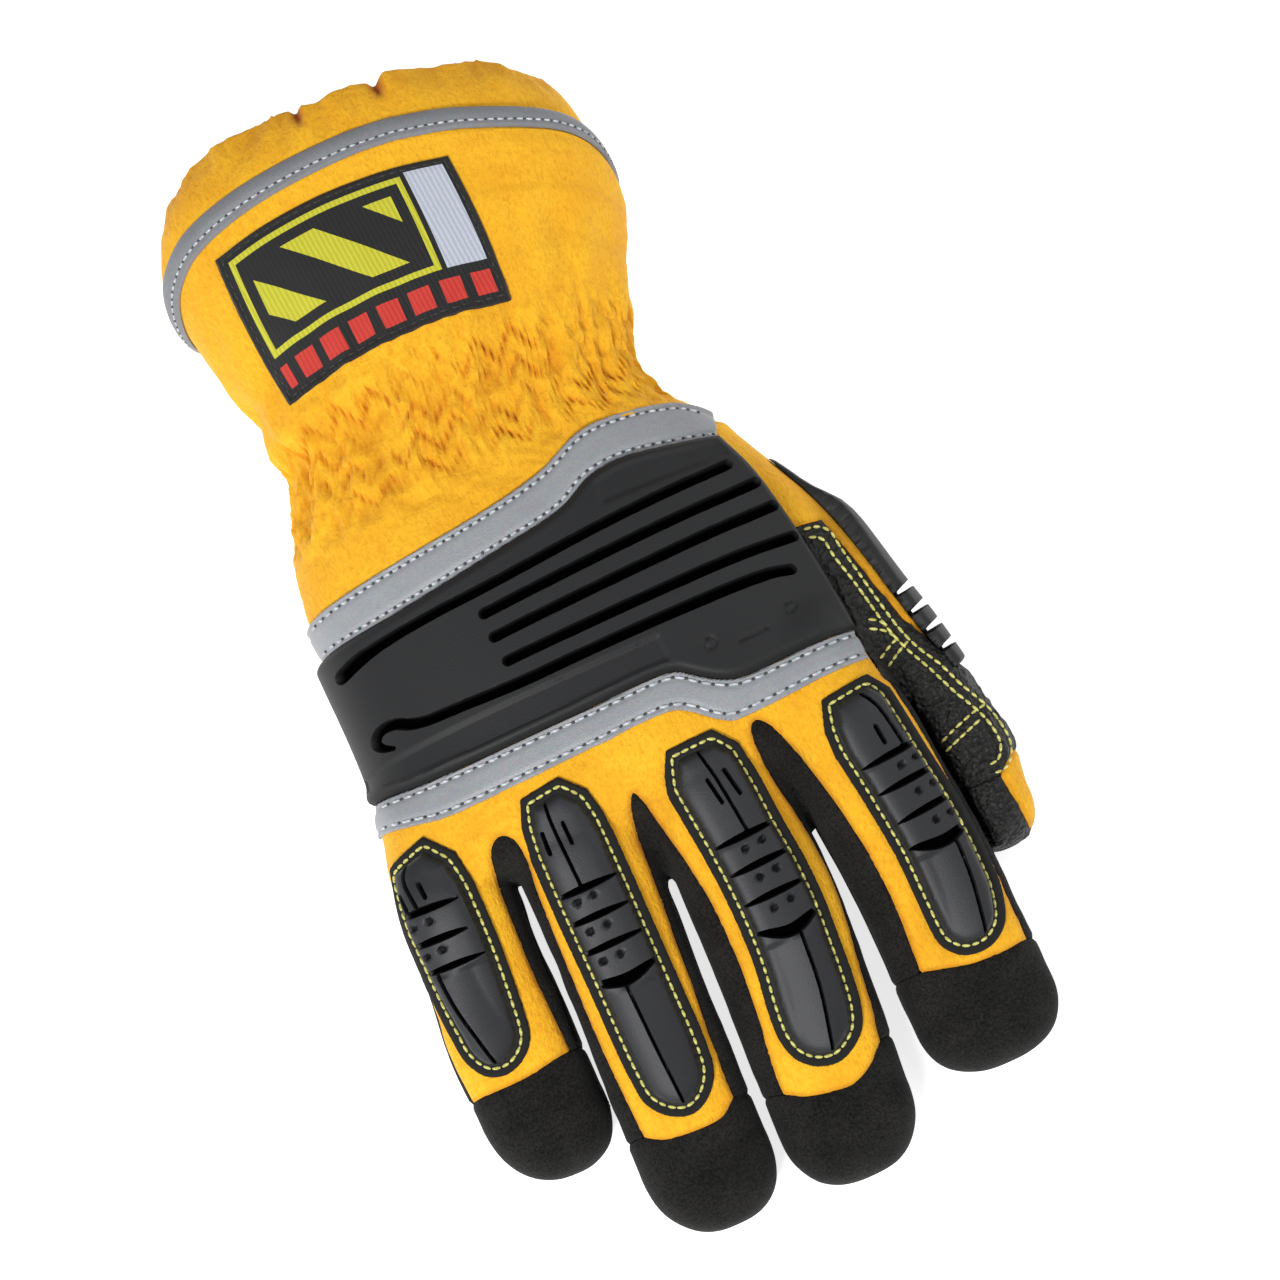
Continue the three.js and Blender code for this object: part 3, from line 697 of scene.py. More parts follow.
@dataclass(frozen=True)
class Finish:
    """What every finish has: which look it gives, and its lightest and darkest tone."""

    look: Look
    light: str
    dark: str

    def start(self) -> tuple[bpy.types.Material, bpy.types.NodeTree, bpy.types.Node, bpy.types.NodeSocket]:
        """Makes the material, and gives its tree, its shader and the object coordinates too."""
        made = bpy.data.materials.new(self.look.value)
        made.use_nodes = True
        tree = made.node_tree
        return made, tree, tree.nodes["Principled BSDF"], add(tree, "TexCoord").outputs["Object"]


@dataclass(frozen=True)
class Cloth(Finish):
    """A crepe knit: two tones, orange shade painted into its folds and beside its seams, and short strokes of
    thread that show as fine relief, with shade painted between them.
    """

    # Painted shade: the valleys between the threads take this colour
    shade: str                   # colour between the threads
    # Painted shade: the colour that creases and the cloth beside seams are darkened towards
    fold_shade: str                    # colour in creases and beside seams
    thread: float                # distance between the threads that show, in millimetres
    crinkle: float               # size of the crinkles, in millimetres
    relief: float = 0.3          # depth of the threads, in millimetres
    crinkle_relief: float = 0.35
    roughness: float = 0.88
    sheen: float = 0.08

    def material(self) -> bpy.types.Material:
        """Builds the material, on object coordinates and the pieces' own attribute of painted shade in
        creases and beside seams.
        """
        made, tree, shader, place = self.start()
        crinkle = add(tree, "TexNoise", {"Vector": place, "Scale": 1000 / self.crinkle, "Detail": 3.0,
                                         "Roughness": 0.6, "Distortion": 0.6})
        stretched = add(tree, "Mapping", {"Vector": place, "Scale": (1.0, 0.38, 1.0)})
        weave = add(tree, "TexNoise", {"Vector": stretched, "Scale": 1000 / self.thread, "Detail": 2.0,
                                       "Roughness": 0.5, "Distortion": 0.4})
        blotch = add(tree, "TexNoise", {"Vector": place, "Scale": 90.0, "Detail": 2.0})
        mottled = add(tree, "Math", {0: crinkle, 1: blotch}, operation="MULTIPLY")
        spread = add(tree, "MapRange", {"Value": mottled, "From Min": 0.1, "From Max": 0.36})
        cloudy = add(tree, "Mix", {"Factor": spread, "A": linear(self.dark), "B": linear(self.light)},
                     data_type="RGBA")
        # Painted shade in the valleys between the threads, where the weave's relief is low
        between = add(tree, "MapRange", {"Value": weave, "From Min": 0.52, "From Max": 0.3, "To Max": 0.42})
        tone = add(tree, "Mix", {"Factor": between, "A": cloudy, "B": linear(self.shade)}, data_type="RGBA")
        # Painted shade: creases and the cloth beside seams are mixed towards the orange fold colour
        crease = add(tree, "Attribute", attribute_name="crease", attribute_type="GEOMETRY").outputs["Fac"]
        shaded = add(tree, "Mix", {"Factor": crease, "A": tone, "B": linear(self.fold_shade)}, data_type="RGBA")
        fine = add(tree, "Bump", {"Height": weave, "Strength": 1.0, "Distance": self.relief * MM})
        rough = add(tree, "Bump", {"Height": crinkle, "Strength": 1.0, "Distance": self.crinkle_relief * MM,
                                   "Normal": fine})
        put(tree, shader, {"Base Color": shaded, "Normal": rough, "Roughness": self.roughness,
                           "Sheen Weight": self.sheen, "Sheen Roughness": 0.5, "Specular IOR Level": 0.25})
        return made


@dataclass(frozen=True)
class Suede(Finish):
    """Synthetic suede: a short nap, matt and soft black, with cloudy strokes where it was brushed."""

    nap: float = 0.6             # size of the nap's tufts, drawn coarser than real so that it shows
    relief: float = 0.3
    roughness: float = 0.95
    sheen: float = 0.04

    def material(self) -> bpy.types.Material:
        """Builds the material on object coordinates."""
        made, tree, shader, place = self.start()
        nap = add(tree, "TexNoise", {"Vector": place, "Scale": 1000 / self.nap, "Detail": 4.0,
                                     "Roughness": 0.7})
        cloud = add(tree, "TexNoise", {"Vector": place, "Scale": 110.0, "Detail": 3.0})
        level = add(tree, "MapRange", {"Value": cloud, "From Min": 0.3, "From Max": 0.7, "To Min": 0.85,
                                       "To Max": 1.1})
        both = add(tree, "Math", {0: nap, 1: level}, operation="MULTIPLY")
        spread = add(tree, "MapRange", {"Value": both, "From Min": 0.34, "From Max": 0.66})
        tone = add(tree, "Mix", {"Factor": spread, "A": linear(self.dark), "B": linear(self.light)},
                   data_type="RGBA")
        relief = add(tree, "Bump", {"Height": nap, "Strength": 1.0, "Distance": self.relief * MM})
        put(tree, shader, {"Base Color": tone, "Normal": relief, "Roughness": self.roughness,
                           "Sheen Weight": self.sheen, "Sheen Roughness": 0.6, "Specular IOR Level": 0.2})
        return made


@dataclass(frozen=True)
class Leather(Finish):
    """Embossed grip leather: round pebbles whose valleys are painted near black as shade and whose tops are
    painted lighter, a low sheen on the tops.
    """

    pebble: float = 0.95         # size of a pebble, in millimetres
    relief: float = 0.6
    roughness: float = 0.48

    def material(self) -> bpy.types.Material:
        """Builds the material on object coordinates."""
        made, tree, shader, place = self.start()
        warp = add(tree, "TexNoise", {"Vector": place, "Scale": 260.0, "Detail": 2.0}).outputs["Color"]
        moved = add(tree, "VectorMath", {0: warp, "Scale": 0.0016}, operation="SCALE")
        warped = add(tree, "VectorMath", {0: place, 1: moved}, operation="ADD")
        cells = add(tree, "TexVoronoi", {"Vector": warped, "Scale": 1000 / self.pebble}, feature="SMOOTH_F1")
        tops = add(tree, "MapRange", {"Value": cells, "From Min": 0.75, "From Max": 0.15})
        # Painted highlight and shade: the pebbles' tops are coloured lighter, their valleys near black
        tone = add(tree, "Mix", {"Factor": tops, "A": linear(self.dark), "B": linear(self.light)},
                   data_type="RGBA")
        relief = add(tree, "Bump", {"Height": tops, "Strength": 1.0, "Distance": self.relief * MM})
        worn = add(tree, "MapRange", {"Value": tops, "To Min": self.roughness + 0.25,
                                      "To Max": self.roughness})
        put(tree, shader, {"Base Color": tone, "Normal": relief, "Roughness": worn,
                           "Specular IOR Level": 0.4})
        return made


@dataclass(frozen=True)
class Rubber(Finish):
    """Moulded thermoplastic rubber: satin from a fine spark-eroded mould, with a rougher sewn flange."""

    flange: str
    grain: float = 0.45          # size of the mould's grain, in millimetres
    relief: float = 0.05
    roughness: float = 0.5

    def material(self) -> bpy.types.Material:
        """Builds the material, on object coordinates and the guards' own flange attribute and their attribute
        of painted shade, which colours slots, grooves and gaps near black.
        """
        made, tree, shader, place = self.start()
        grain = add(tree, "TexNoise", {"Vector": place, "Scale": 1000 / self.grain, "Detail": 3.0})
        cloud = add(tree, "TexNoise", {"Vector": place, "Scale": 60.0, "Detail": 2.0})
        tone = add(tree, "Mix", {"Factor": cloud, "A": linear(self.dark), "B": linear(self.light)},
                   data_type="RGBA")
        flange = add(tree, "Attribute", attribute_name="flange", attribute_type="GEOMETRY").outputs["Fac"]
        edged = add(tree, "Mix", {"Factor": flange, "A": tone, "B": linear(self.flange)}, data_type="RGBA")
        crease = add(tree, "Attribute", attribute_name="crease", attribute_type="GEOMETRY").outputs["Fac"]
        # Painted shade: slots, grooves, dimples and the gaps between teeth are coloured near black
        cut = add(tree, "Mix", {"Factor": crease, "A": edged, "B": linear("#020202")}, data_type="RGBA")
        relief = add(tree, "Bump", {"Height": grain, "Strength": 1.0, "Distance": self.relief * MM})
        worn = add(tree, "MapRange", {"Value": flange, "To Min": self.roughness, "To Max": 0.85})
        # Painted shade: the floors of slots and grooves take no reflection, as if they lay in the dark
        glint = add(tree, "MapRange", {"Value": crease, "To Min": 0.4, "To Max": 0.0})
        put(tree, shader, {"Base Color": cut, "Normal": relief, "Roughness": worn,
                           "Specular IOR Level": glint})
        return made


@dataclass(frozen=True)
class ReflectiveTape(Finish):
    """Retroreflective tape: glass beads on a silver woven ground, a soft metallic grey off its axis."""

    bead: float = 0.5            # drawn coarser than the real beads so that the grain shows
    relief: float = 0.06
    roughness: float = 0.55
    metallic: float = 0.15

    def material(self) -> bpy.types.Material:
        """Builds the material on object coordinates."""
        made, tree, shader, place = self.start()
        beads = add(tree, "TexVoronoi", {"Vector": place, "Scale": 1000 / self.bead})
        cloud = add(tree, "TexNoise", {"Vector": place, "Scale": 90.0, "Detail": 4.0})
        tone = add(tree, "Mix", {"Factor": cloud, "A": linear(self.dark), "B": linear(self.light)},
                   data_type="RGBA")
        speck = add(tree, "Mix", {"Factor": 0.12, "A": tone, "B": beads.outputs["Color"]}, data_type="RGBA",
                    blend_type="SOFT_LIGHT")
        relief = add(tree, "Bump", {"Height": beads, "Strength": 1.0, "Distance": self.relief * MM})
        put(tree, shader, {"Base Color": speck, "Normal": relief, "Roughness": self.roughness,
                           "Metallic": self.metallic})
        return made


@dataclass(frozen=True)
class LightTable(Finish):
    """A pale table top that glows a little of itself."""

    glow: float = 0.75

    def material(self) -> bpy.types.Material:
        """Builds the material on object coordinates."""
        made, tree, shader, place = self.start()
        cloud = add(tree, "TexNoise", {"Vector": place, "Scale": 3.0, "Detail": 1.0})
        tone = add(tree, "Mix", {"Factor": cloud, "A": linear(self.dark), "B": linear(self.light)},
                   data_type="RGBA")
        put(tree, shader, {"Base Color": tone, "Roughness": 0.9, "Specular IOR Level": 0.1,
                           "Emission Color": linear("#FFFFFF"), "Emission Strength": self.glow})
        return made


@dataclass(frozen=True)
class Thread(Finish):
    """Twisted polyester sewing thread: plies that catch the light in fine slanted ridges."""

    ply: float = 0.45            # distance between the plies' ridges, in millimetres

    def material(self) -> bpy.types.Material:
        """Builds the material on object coordinates."""
        made, tree, shader, place = self.start()
        plies = add(tree, "TexWave", {"Vector": place, "Scale": 1000 / self.ply / math.tau,
                                      "Distortion": 2.0}, bands_direction="DIAGONAL").outputs["Fac"]
        tone = add(tree, "Mix", {"Factor": plies, "A": linear(self.dark), "B": linear(self.light)},
                   data_type="RGBA")
        put(tree, shader, {"Base Color": tone, "Roughness": 0.7, "Sheen Weight": 0.2})
        return made


@dataclass(frozen=True)
class WovenPatch(Finish):
    """A damask patch: dark ground with plain yellow, pale and red blocks, ribbed by its weft."""

    frame: str = "#CFCB2E"
    band: str = "#D23428"
    rib: float = 0.55            # distance between the ribs, in millimetres

    def material(self) -> bpy.types.Material:
        """Builds the material on the patch's own UV map, which is in patch widths and heights."""
        made, tree, shader, place = self.start()
        uv = add(tree, "UVMap", uv_map="patch").outputs["UV"]
        parts = add(tree, "SeparateXYZ", {"Vector": uv}).outputs

        def both(a: object, b: object, kind: str = "MULTIPLY") -> bpy.types.Node:
            """Combines two masks."""
            return add(tree, "Math", {0: a, 1: b}, operation=kind, use_clamp=True)

        def box(left: float, right: float, low: float, high: float) -> bpy.types.Node:
            """One inside a box of the UV map, else zero."""
            sides = [both(add(tree, "Math", {0: parts[axis], 1: start}, operation="GREATER_THAN"),
                          add(tree, "Math", {0: parts[axis], 1: end}, operation="LESS_THAN"))
                     for axis, start, end in (("X", left, right), ("Y", low, high))]
            return both(*sides)

        border = both(box(0.051, 0.781, 0.29, 0.935), box(0.074, 0.758, 0.328, 0.897), "SUBTRACT")
        wide = add(tree, "Mapping", {"Vector": uv, "Scale": (1.6, 1.0, 1.0)})
        slant = add(tree, "TexWave", {"Vector": wide, "Scale": 1.15, "Distortion": 0.0},
                    bands_direction="DIAGONAL")
        stripe = add(tree, "Math", {0: slant.outputs["Fac"], 1: 0.62}, operation="GREATER_THAN")
        bands = both(box(0.115, 0.717, 0.395, 0.83), stripe)
        dashes = add(tree, "Math", {0: parts["X"], 1: 0.125}, operation="MODULO")
        dash = add(tree, "Math", {0: dashes, 1: 0.085}, operation="LESS_THAN")
        row = both(box(0.05, 0.96, 0.075, 0.225), dash)
        colour = linear(self.dark)
        block = box(0.802, 0.963, 0.29, 0.955)
        for mask, code in ((both(border, bands, "ADD"), self.frame), (block, self.light), (row, self.band)):
            colour = add(tree, "Mix", {"Factor": mask, "A": colour, "B": linear(code)}, data_type="RGBA")
        turned = add(tree, "Mapping", {"Vector": place, "Rotation": (0, 0, math.radians(-5))})
        ribs = add(tree, "TexWave", {"Vector": turned, "Scale": 1000 / self.rib / math.tau, "Distortion": 1.2,
                                     "Detail Scale": 3.0}, bands_direction="X").outputs
        soft = add(tree, "Mix", {"Factor": 0.22, "A": colour, "B": ribs["Color"]}, data_type="RGBA",
                   blend_type="MULTIPLY")
        relief = add(tree, "Bump", {"Height": ribs["Fac"], "Strength": 1.0, "Distance": 0.1 * MM})
        put(tree, shader, {"Base Color": soft, "Normal": relief, "Roughness": 0.75, "Sheen Weight": 0.2})
        return made


class Wardrobe:
    """Keeps one material for each finish."""

    FINISHES = [
        # Dyed stretch nylon, brushed on the face: matt and warm, with orange shade painted where it is folded
        # and beside seams
        Cloth(Look.YELLOW, "#FFC22A", "#F6B022", "#DD9415", "#B05E08", thread=0.7, crinkle=1.5),
        Suede(Look.SUEDE, "#292826", "#030303"),
        Leather(Look.LEATHER, "#232322", "#010101"),
        Rubber(Look.RUBBER, "#27282B", "#202125", "#161615"),
        # The same rubber over the knuckles and the thumb, with a duller face and colours painted darker as
        # shade
        Rubber(Look.KNUCKLE, "#1D1E20", "#17181A", "#131312", roughness=0.58),
        ReflectiveTape(Look.TAPE, "#A3A6AB", "#92959A"),
        # The same beads on a piping, laid at a slant to the light, so it looks darker
        ReflectiveTape(Look.CUFF_TAPE, "#8A8C91", "#7A7C81"),
        WovenPatch(Look.PATCH, "#C3C8D6", "#0A0A0C"),
        # Brushed tricot inside the shell, which only the open cuff shows
        Cloth(Look.LINING, "#E5C27A", "#D0A75A", "#BE954A", "#A87E38", thread=1.2, crinkle=2.5, sheen=0.5),
        Thread(Look.YELLOW_THREAD, "#E6E284", "#BDB857"),
        Thread(Look.GREY_THREAD, "#DADEE2", "#AEB3B8"),
        Thread(Look.BLACK_THREAD, "#3A3936", "#1D1C1A"),
        # Painted shade: a dark dot stands for the shadow in the hole that the needle leaves between two
        # stitches
        Thread(Look.PRICK, "#4A4D52", "#3A3C40"),
        # A pale table lit from below, as for a catalogue picture, so that its shadows stay faint
        LightTable(Look.FLOOR, "#F4F4F4", "#ECECEC"),
    ]

    def __init__(self) -> None:
        """Builds every material once."""
        self.materials = {finish.look: finish.material() for finish in self.FINISHES}

    def __getitem__(self, look: Look) -> bpy.types.Material:
        """The material of a finish."""
        return self.materials[look]


# Making objects
@dataclass
class Shell:
    """A closed shell in pattern millimetres, with what its finish needs to know about each vertex."""

    vertices: Array
    faces: Array
    values: dict[str, Array] = field(default_factory=dict)
    uv: Array | None = None
    inner: Array | None = None      # faces that take the second finish

    @classmethod
    def thick(cls, skin: Skin, over: Array | float, under: Array | float, **values: Array) -> "Shell":
        """Gives a skin thickness, its inner face taking the same values as its outer one."""
        vertices, faces = skin.solid(over, under)
        doubled = {name: np.concatenate([value, value]) for name, value in values.items()}
        inner = np.zeros(len(faces), bool)
        inner[len(skin.faces):2 * len(skin.faces)] = True
        return cls(vertices, faces, doubled, None, inner)

    def tree(self) -> BVHTree:
        """A search tree over the shell's faces, in millimetres."""
        return BVHTree.FromPolygons(self.vertices.tolist(), self.faces.tolist())


class Dresser:
    """Turns shells into finished objects, each parented to the glove's body, with the imported parts that it
    stands for hidden.
    """

    def __init__(self, wardrobe: Wardrobe) -> None:
        """Takes the materials."""
        self.wardrobe = wardrobe
        self.shells: dict[str, Shell] = {}

    def make(self, name: str, shell: Shell, look: Look, slot: str, nodes: Sequence[str] = (),
             fill: float | None = None, sharp: float = 42.0, lining: Look | None = None) -> None:
        """Makes one piece, riding on the glove's body.

        Args:
            name: the piece's name.
            shell: its shape.
            look: its finish.
            slot: not used.
            nodes: the CAD nodes that it replaces.
            fill: not used.
            sharp: edges that turn by more than this many degrees stay sharp.
            lining: the finish of its inner faces, if they have their own.
        """
        title = f"{name}_{look.kind}"
        mesh = bpy.data.meshes.new(title)
        place = (shell.vertices + SHIFT) * MM
        mesh.vertices.add(len(place))
        mesh.vertices.foreach_set("co", place.ravel())
        corners = shell.faces.ravel().astype(np.int32)
        mesh.loops.add(len(corners))
        mesh.loops.foreach_set("vertex_index", corners)
        mesh.polygons.add(len(shell.faces))
        starts = np.arange(0, len(corners), shell.faces.shape[1], dtype=np.int32)
        mesh.polygons.foreach_set("loop_start", starts)
        mesh.update(calc_edges=True)
        for key, value in shell.values.items():
            mesh.attributes.new(key, "FLOAT", "POINT").data.foreach_set("value", value.astype(np.float32))
        if shell.uv is not None:
            layer = mesh.uv_layers.new(name="patch")
            layer.uv.foreach_set("vector", shell.uv[corners].astype(np.float32).ravel())
        mesh.materials.append(self.wardrobe[look])
        if lining is not None and shell.inner is not None:
            mesh.materials.append(self.wardrobe[lining])
            mesh.polygons.foreach_set("material_index", shell.inner.astype(np.int32))
        mesh.shade_smooth()
        mesh.set_sharp_from_angle(angle=math.radians(sharp))
        mesh.validate()
        made = bpy.data.objects.new(title, mesh)
        bpy.context.collection.objects.link(made)
        self.shells[name] = shell
        self.enter(made, slot, nodes, fill)

    def enter(self, made: bpy.types.Object, slot: str, nodes: Sequence[str] = (),
              fill: float | None = None) -> None:
        """Parents a finished object to the glove's body, hides the imported parts that it replaces, and logs
        it.
        """
        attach(made, BODY)
        if nodes:
            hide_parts(*nodes)
        LOG.info("%s: %d faces", made.name, len(made.data.polygons))


@dataclass
class Stitch:
    """One kind of stitch, in millimetres."""

    look: Look
    length: float = 1.95
    pitch: float = 2.3
    thick: float = 0.66
    lift: float = 0.08
    uneven: float = 0.12


class Sewing:
    """Rows of stitches, placed along paths by a Geometry Nodes tree."""

    SEED = 7
    FROM_ABOVE = 90.0       # height to look down from when a row is laid on the glove

    def __init__(self, dresser: Dresser) -> None:
        """Builds the tree once."""
        self.dresser = dresser
        self.tree = self._tree()

    def _tree(self) -> bpy.types.NodeTree:
        """A tree that puts a stitch at each vertex, turned by its along and up attributes."""
        tree = bpy.data.node_groups.new("stitches", "GeometryNodeTree")
        for name, kind in (("Geometry", "Geometry"), ("Length", "Float"), ("Thickness", "Float"),
                           ("Unevenness", "Float"), ("Seed", "Int"), ("Thread", "Material")):
            tree.interface.new_socket(name, in_out="INPUT", socket_type=f"NodeSocket{kind}")
        tree.interface.new_socket("Geometry", in_out="OUTPUT", socket_type="NodeSocketGeometry")
        given = add(tree, "NodeGroupInput").outputs
        points = add(tree, "GeometryNodeMeshToPoints", {"Mesh": given["Geometry"]})
        ball = add(tree, "GeometryNodeMeshUVSphere", {"Segments": 6, "Rings": 5, "Radius": 0.5})
        lying = add(tree, "GeometryNodeTransform", {"Geometry": ball, "Rotation": (0, math.pi / 2, 0)})
        along, up = (add(tree, "GeometryNodeInputNamedAttribute", {"Name": name}, data_type="FLOAT_VECTOR")
                     for name in ("along", "up"))
        turn = add(tree, "FunctionNodeAxesToRotation", {"Primary Axis": along, "Secondary Axis": up},
                   primary_axis="X", secondary_axis="Z")
        least, most = (add(tree, "Math", {0: 1.0, 1: given["Unevenness"]}, operation=kind)
                       for kind in ("SUBTRACT", "ADD"))
        chance = add(tree, "FunctionNodeRandomValue", {"Min": least, "Max": most, "Seed": given["Seed"]},
                     data_type="FLOAT")
        long = add(tree, "Math", {0: given["Length"], 1: chance}, operation="MULTIPLY")
        size = add(tree, "CombineXYZ", {"X": long, "Y": given["Thickness"], "Z": given["Thickness"]})
        placed = add(tree, "GeometryNodeInstanceOnPoints", {"Points": points, "Instance": lying,
                                                            "Rotation": turn, "Scale": size})
        real = add(tree, "GeometryNodeRealizeInstances", {"Geometry": placed})
        smooth = add(tree, "GeometryNodeSetShadeSmooth", {"Geometry": real})
        dressed = add(tree, "GeometryNodeSetMaterial", {"Geometry": smooth, "Material": given["Thread"]})
        add(tree, "NodeGroupOutput", {"Geometry": dressed})
        return tree

    def sew(self, name: str, rows: Sequence[tuple[Array, Array, Array]], stitch: Stitch, slot: str) -> None:
        """Sews rows of stitches as one object.

        Args:
            name: the object's name.
            rows: for each row its stitches' places, directions and outward directions, in millimetres.
            stitch: the kind of stitch.
            slot: not used.
        """
        place, along, up = (np.vstack([row[i] for row in rows]) for i in range(3))
        mesh = bpy.data.meshes.new(name)
        mesh.vertices.add(len(place))
        mesh.vertices.foreach_set("co", ((place + up * stitch.lift + SHIFT) * MM).ravel())
        for key, value in (("along", along), ("up", up)):
            attribute = mesh.attributes.new(key, "FLOAT_VECTOR", "POINT")
            attribute.data.foreach_set("vector", value.astype(np.float32).ravel())
        seed = bpy.data.objects.new(name, mesh)
        bpy.context.collection.objects.link(seed)
        modifier = seed.modifiers.new("stitches", "NODES")
        modifier.node_group = self.tree
        inputs = {item.name: item.identifier for item in self.tree.interface.items_tree
                  if item.item_type == "SOCKET" and item.in_out == "INPUT"}
        for key, value in (("Length", stitch.length * MM), ("Thickness", stitch.thick * MM),
                           ("Unevenness", stitch.uneven), ("Seed", self.SEED),
                           ("Thread", self.dresser.wardrobe[stitch.look])):
            modifier[inputs[key]] = value
        graph = bpy.context.evaluated_depsgraph_get()
        seed.data = bpy.data.meshes.new_from_object(seed.evaluated_get(graph))
        seed.modifiers.clear()
        self.dresser.enter(seed, slot)

    def prick(self, name: str, rows: Sequence[tuple[Array, Array, Array]], stitch: Stitch, slot: str) -> None:
        """Puts dark dots of painted shade at the needle's holes between the stitches of some rows, as one
        object.
        """
        hole_shade = Stitch(Look.PRICK, length=stitch.pitch - stitch.length * 0.9, thick=stitch.thick, lift=0.0)
        shifted = [(place + along * stitch.pitch / 2, along, up) for place, along, up in rows]
        self.sew(name, shifted, hole_shade, slot)

    def drape(self, path: Array, stitch: Stitch, *trees: BVHTree) -> tuple[Array, Array, Array]:
        """Lays a row of stitches on shells.

        Args:
            path: points of the row, seen from above, or in space close to the first shell.
            stitch: the kind of stitch.
            trees: the shells' search trees; the highest one under a point carries it.

        Returns:
            The stitches' places, directions and outward directions.
        """
        long = lengths(path)[-1]
        count = max(int(round(long / stitch.pitch)), 1)
        at = (np.arange(count) + 0.5) * long / count
        half = stitch.length / 2
        landed = [[self.land(spot, trees) for spot in follow(path, at + shift).tolist()]
                  for shift in (-half, 0, half)]
        rows = [(a, b, c) for a, b, c in zip(*landed) if a and b and c]
        if not rows:
            return np.zeros((0, 3)), np.zeros((0, 3)), np.zeros((0, 3))
        start, middle, end = (np.array([row[i][0] for row in rows]) for i in range(3))
        up = unit(np.array([np.sum([spot[1] for spot in row], axis=0) for row in rows]))
        return (start + middle + end) / 3, unit(end - start), up

    def land(self, at: Sequence[float], trees: Sequence[BVHTree]) -> tuple[Array, Array] | None:
        """Where a point lies on the shells, and which way is out."""
        if len(at) == 3:
            spot, normal, _, _ = trees[0].find_nearest(Vector(at))
            return np.array(spot), np.array(normal)
        best = None
        for tree in trees:
            spot, normal, _, _ = tree.ray_cast(Vector((*at, self.FROM_ABOVE)), Vector((0, 0, -1)))
            if spot is not None and (best is None or spot.z > best[0][2]):
                best = (np.array(spot), np.array(normal))
        return best


# The hand
@dataclass
class SewnHand:
    """The cloth and leather pieces of the hand, each cut from the skin along its own seams."""

    form: GloveForm
    skin: Skin
    pattern: Pattern
    dresser: Dresser
    press: Field                  # how far a guard presses the cloth in
    pillow: float = 0.5           # how far the cloth dives into a seam
    pillow_width: float = 1.3

    SLOTS = {Look.YELLOW: "yellow_fabric", Look.SUEDE: "black_suede", Look.LEATHER: "grip_leather"}

    def build(self) -> None:
        """Makes every piece."""
        pattern = self.pattern
        top = within(trimmed(pattern.back), pattern.hand, pattern.off_caps)
        bottom = within(trimmed(pattern.back, -1), pattern.hand, pattern.off_caps)
        thumb = within(trimmed(pattern.thumb), trimmed(pattern.CUFF_LINE.past, -1))
        above = lambda p: p[:, 2] - pattern.THUMB_SEAM
        tip = lambda p: pattern.THUMB_TIP - p[:, 1]
        thumb_top = within(thumb, trimmed(above))
        leather = within(thumb_top, trimmed(pattern.thumb_outer, -1))
        strips = [(f"side_strip_{name}", within(top, trimmed(partial(pattern.window, name))), Look.SUEDE, 0.3)
                  for name in pattern.windows]
        caps = [(f"{name}_cap", within(trimmed(partial(pattern.cap, name)), lambda p: -pattern.thumb(p)),
                 Look.SUEDE, 0.5) for name in pattern.caps]
        for name, region, look, fill in [
                ("back_panel", within(top, pattern.off_windows, trimmed(pattern.INDEX_EDGE.beyond, -1)),
                 Look.YELLOW, 0.5), *strips,
                ("index_side", within(top, trimmed(pattern.INDEX_EDGE.beyond)), Look.SUEDE, 0.3), *caps,
                ("palm", bottom, Look.SUEDE, 0.4),
                ("thumb_palm", within(thumb, trimmed(above, -1)), Look.SUEDE, 0.4),
                ("thumb_back", within(thumb_top, trimmed(pattern.thumb_outer)), Look.YELLOW, 0.5),
                ("thumb_saddle", within(leather, trimmed(tip, -1)), Look.LEATHER, 0.4),
                ("thumb_tip", within(leather, trimmed(tip)), Look.LEATHER, 0.4)]:
            self.panel(name, region, look, fill)

    def panel(self, name: str, region: Field, look: Look, fill: float) -> None:
        """Cuts one piece out of the skin and gives it its thickness and its drape.

        Args:
            name: the piece's name, which is also its node's.
            region: positive inside the piece, and about the distance from its border.
            look: its finish.
            fill: not used.
        """
        skin = self.skin.cut(region)
        edge = np.maximum(region(skin.points), 0)
        dive = self.pillow * (1 - np.minimum(edge / self.pillow_width, 1)) ** 2
        drape = self.drape(skin.points, look)
        over = drape - dive - self.press(skin.points)
        floor = (FLOOR_CLEAR - skin.points[:, 2]) / np.minimum(skin.out[:, 2], -0.3)
        over = np.where(skin.out[:, 2] < -0.3, np.minimum(over, np.maximum(floor, -1.0)), over)
        # Painted shade beside the seams and in the cloth's dips
        crease = np.clip(0.4 * (1 - ramp(edge, 0.1, 1.5)) - 0.7 * np.minimum(drape, 0), 0, 1)
        made = Shell.thick(skin, over, WALL, crease=crease)
        self.dresser.make(name, made, look, self.SLOTS[look], (name,), fill)

    @staticmethod
    def drape(p: Array, look: Look) -> Array:
        """Height of the cloth's slack above the form."""
        soft = 0.22 * noise(p, 13, 1) + 0.12 * noise(p, 5.5, 2)
        if look is Look.LEATHER:
            ridge = 1 - np.abs(noise(p + 1.5 * noise(p, 9, 5)[:, None], (5, 9, 5), 4)) * 1.8
            return soft + 0.55 * np.maximum(ridge, 0) ** 3 - 0.1
        return soft


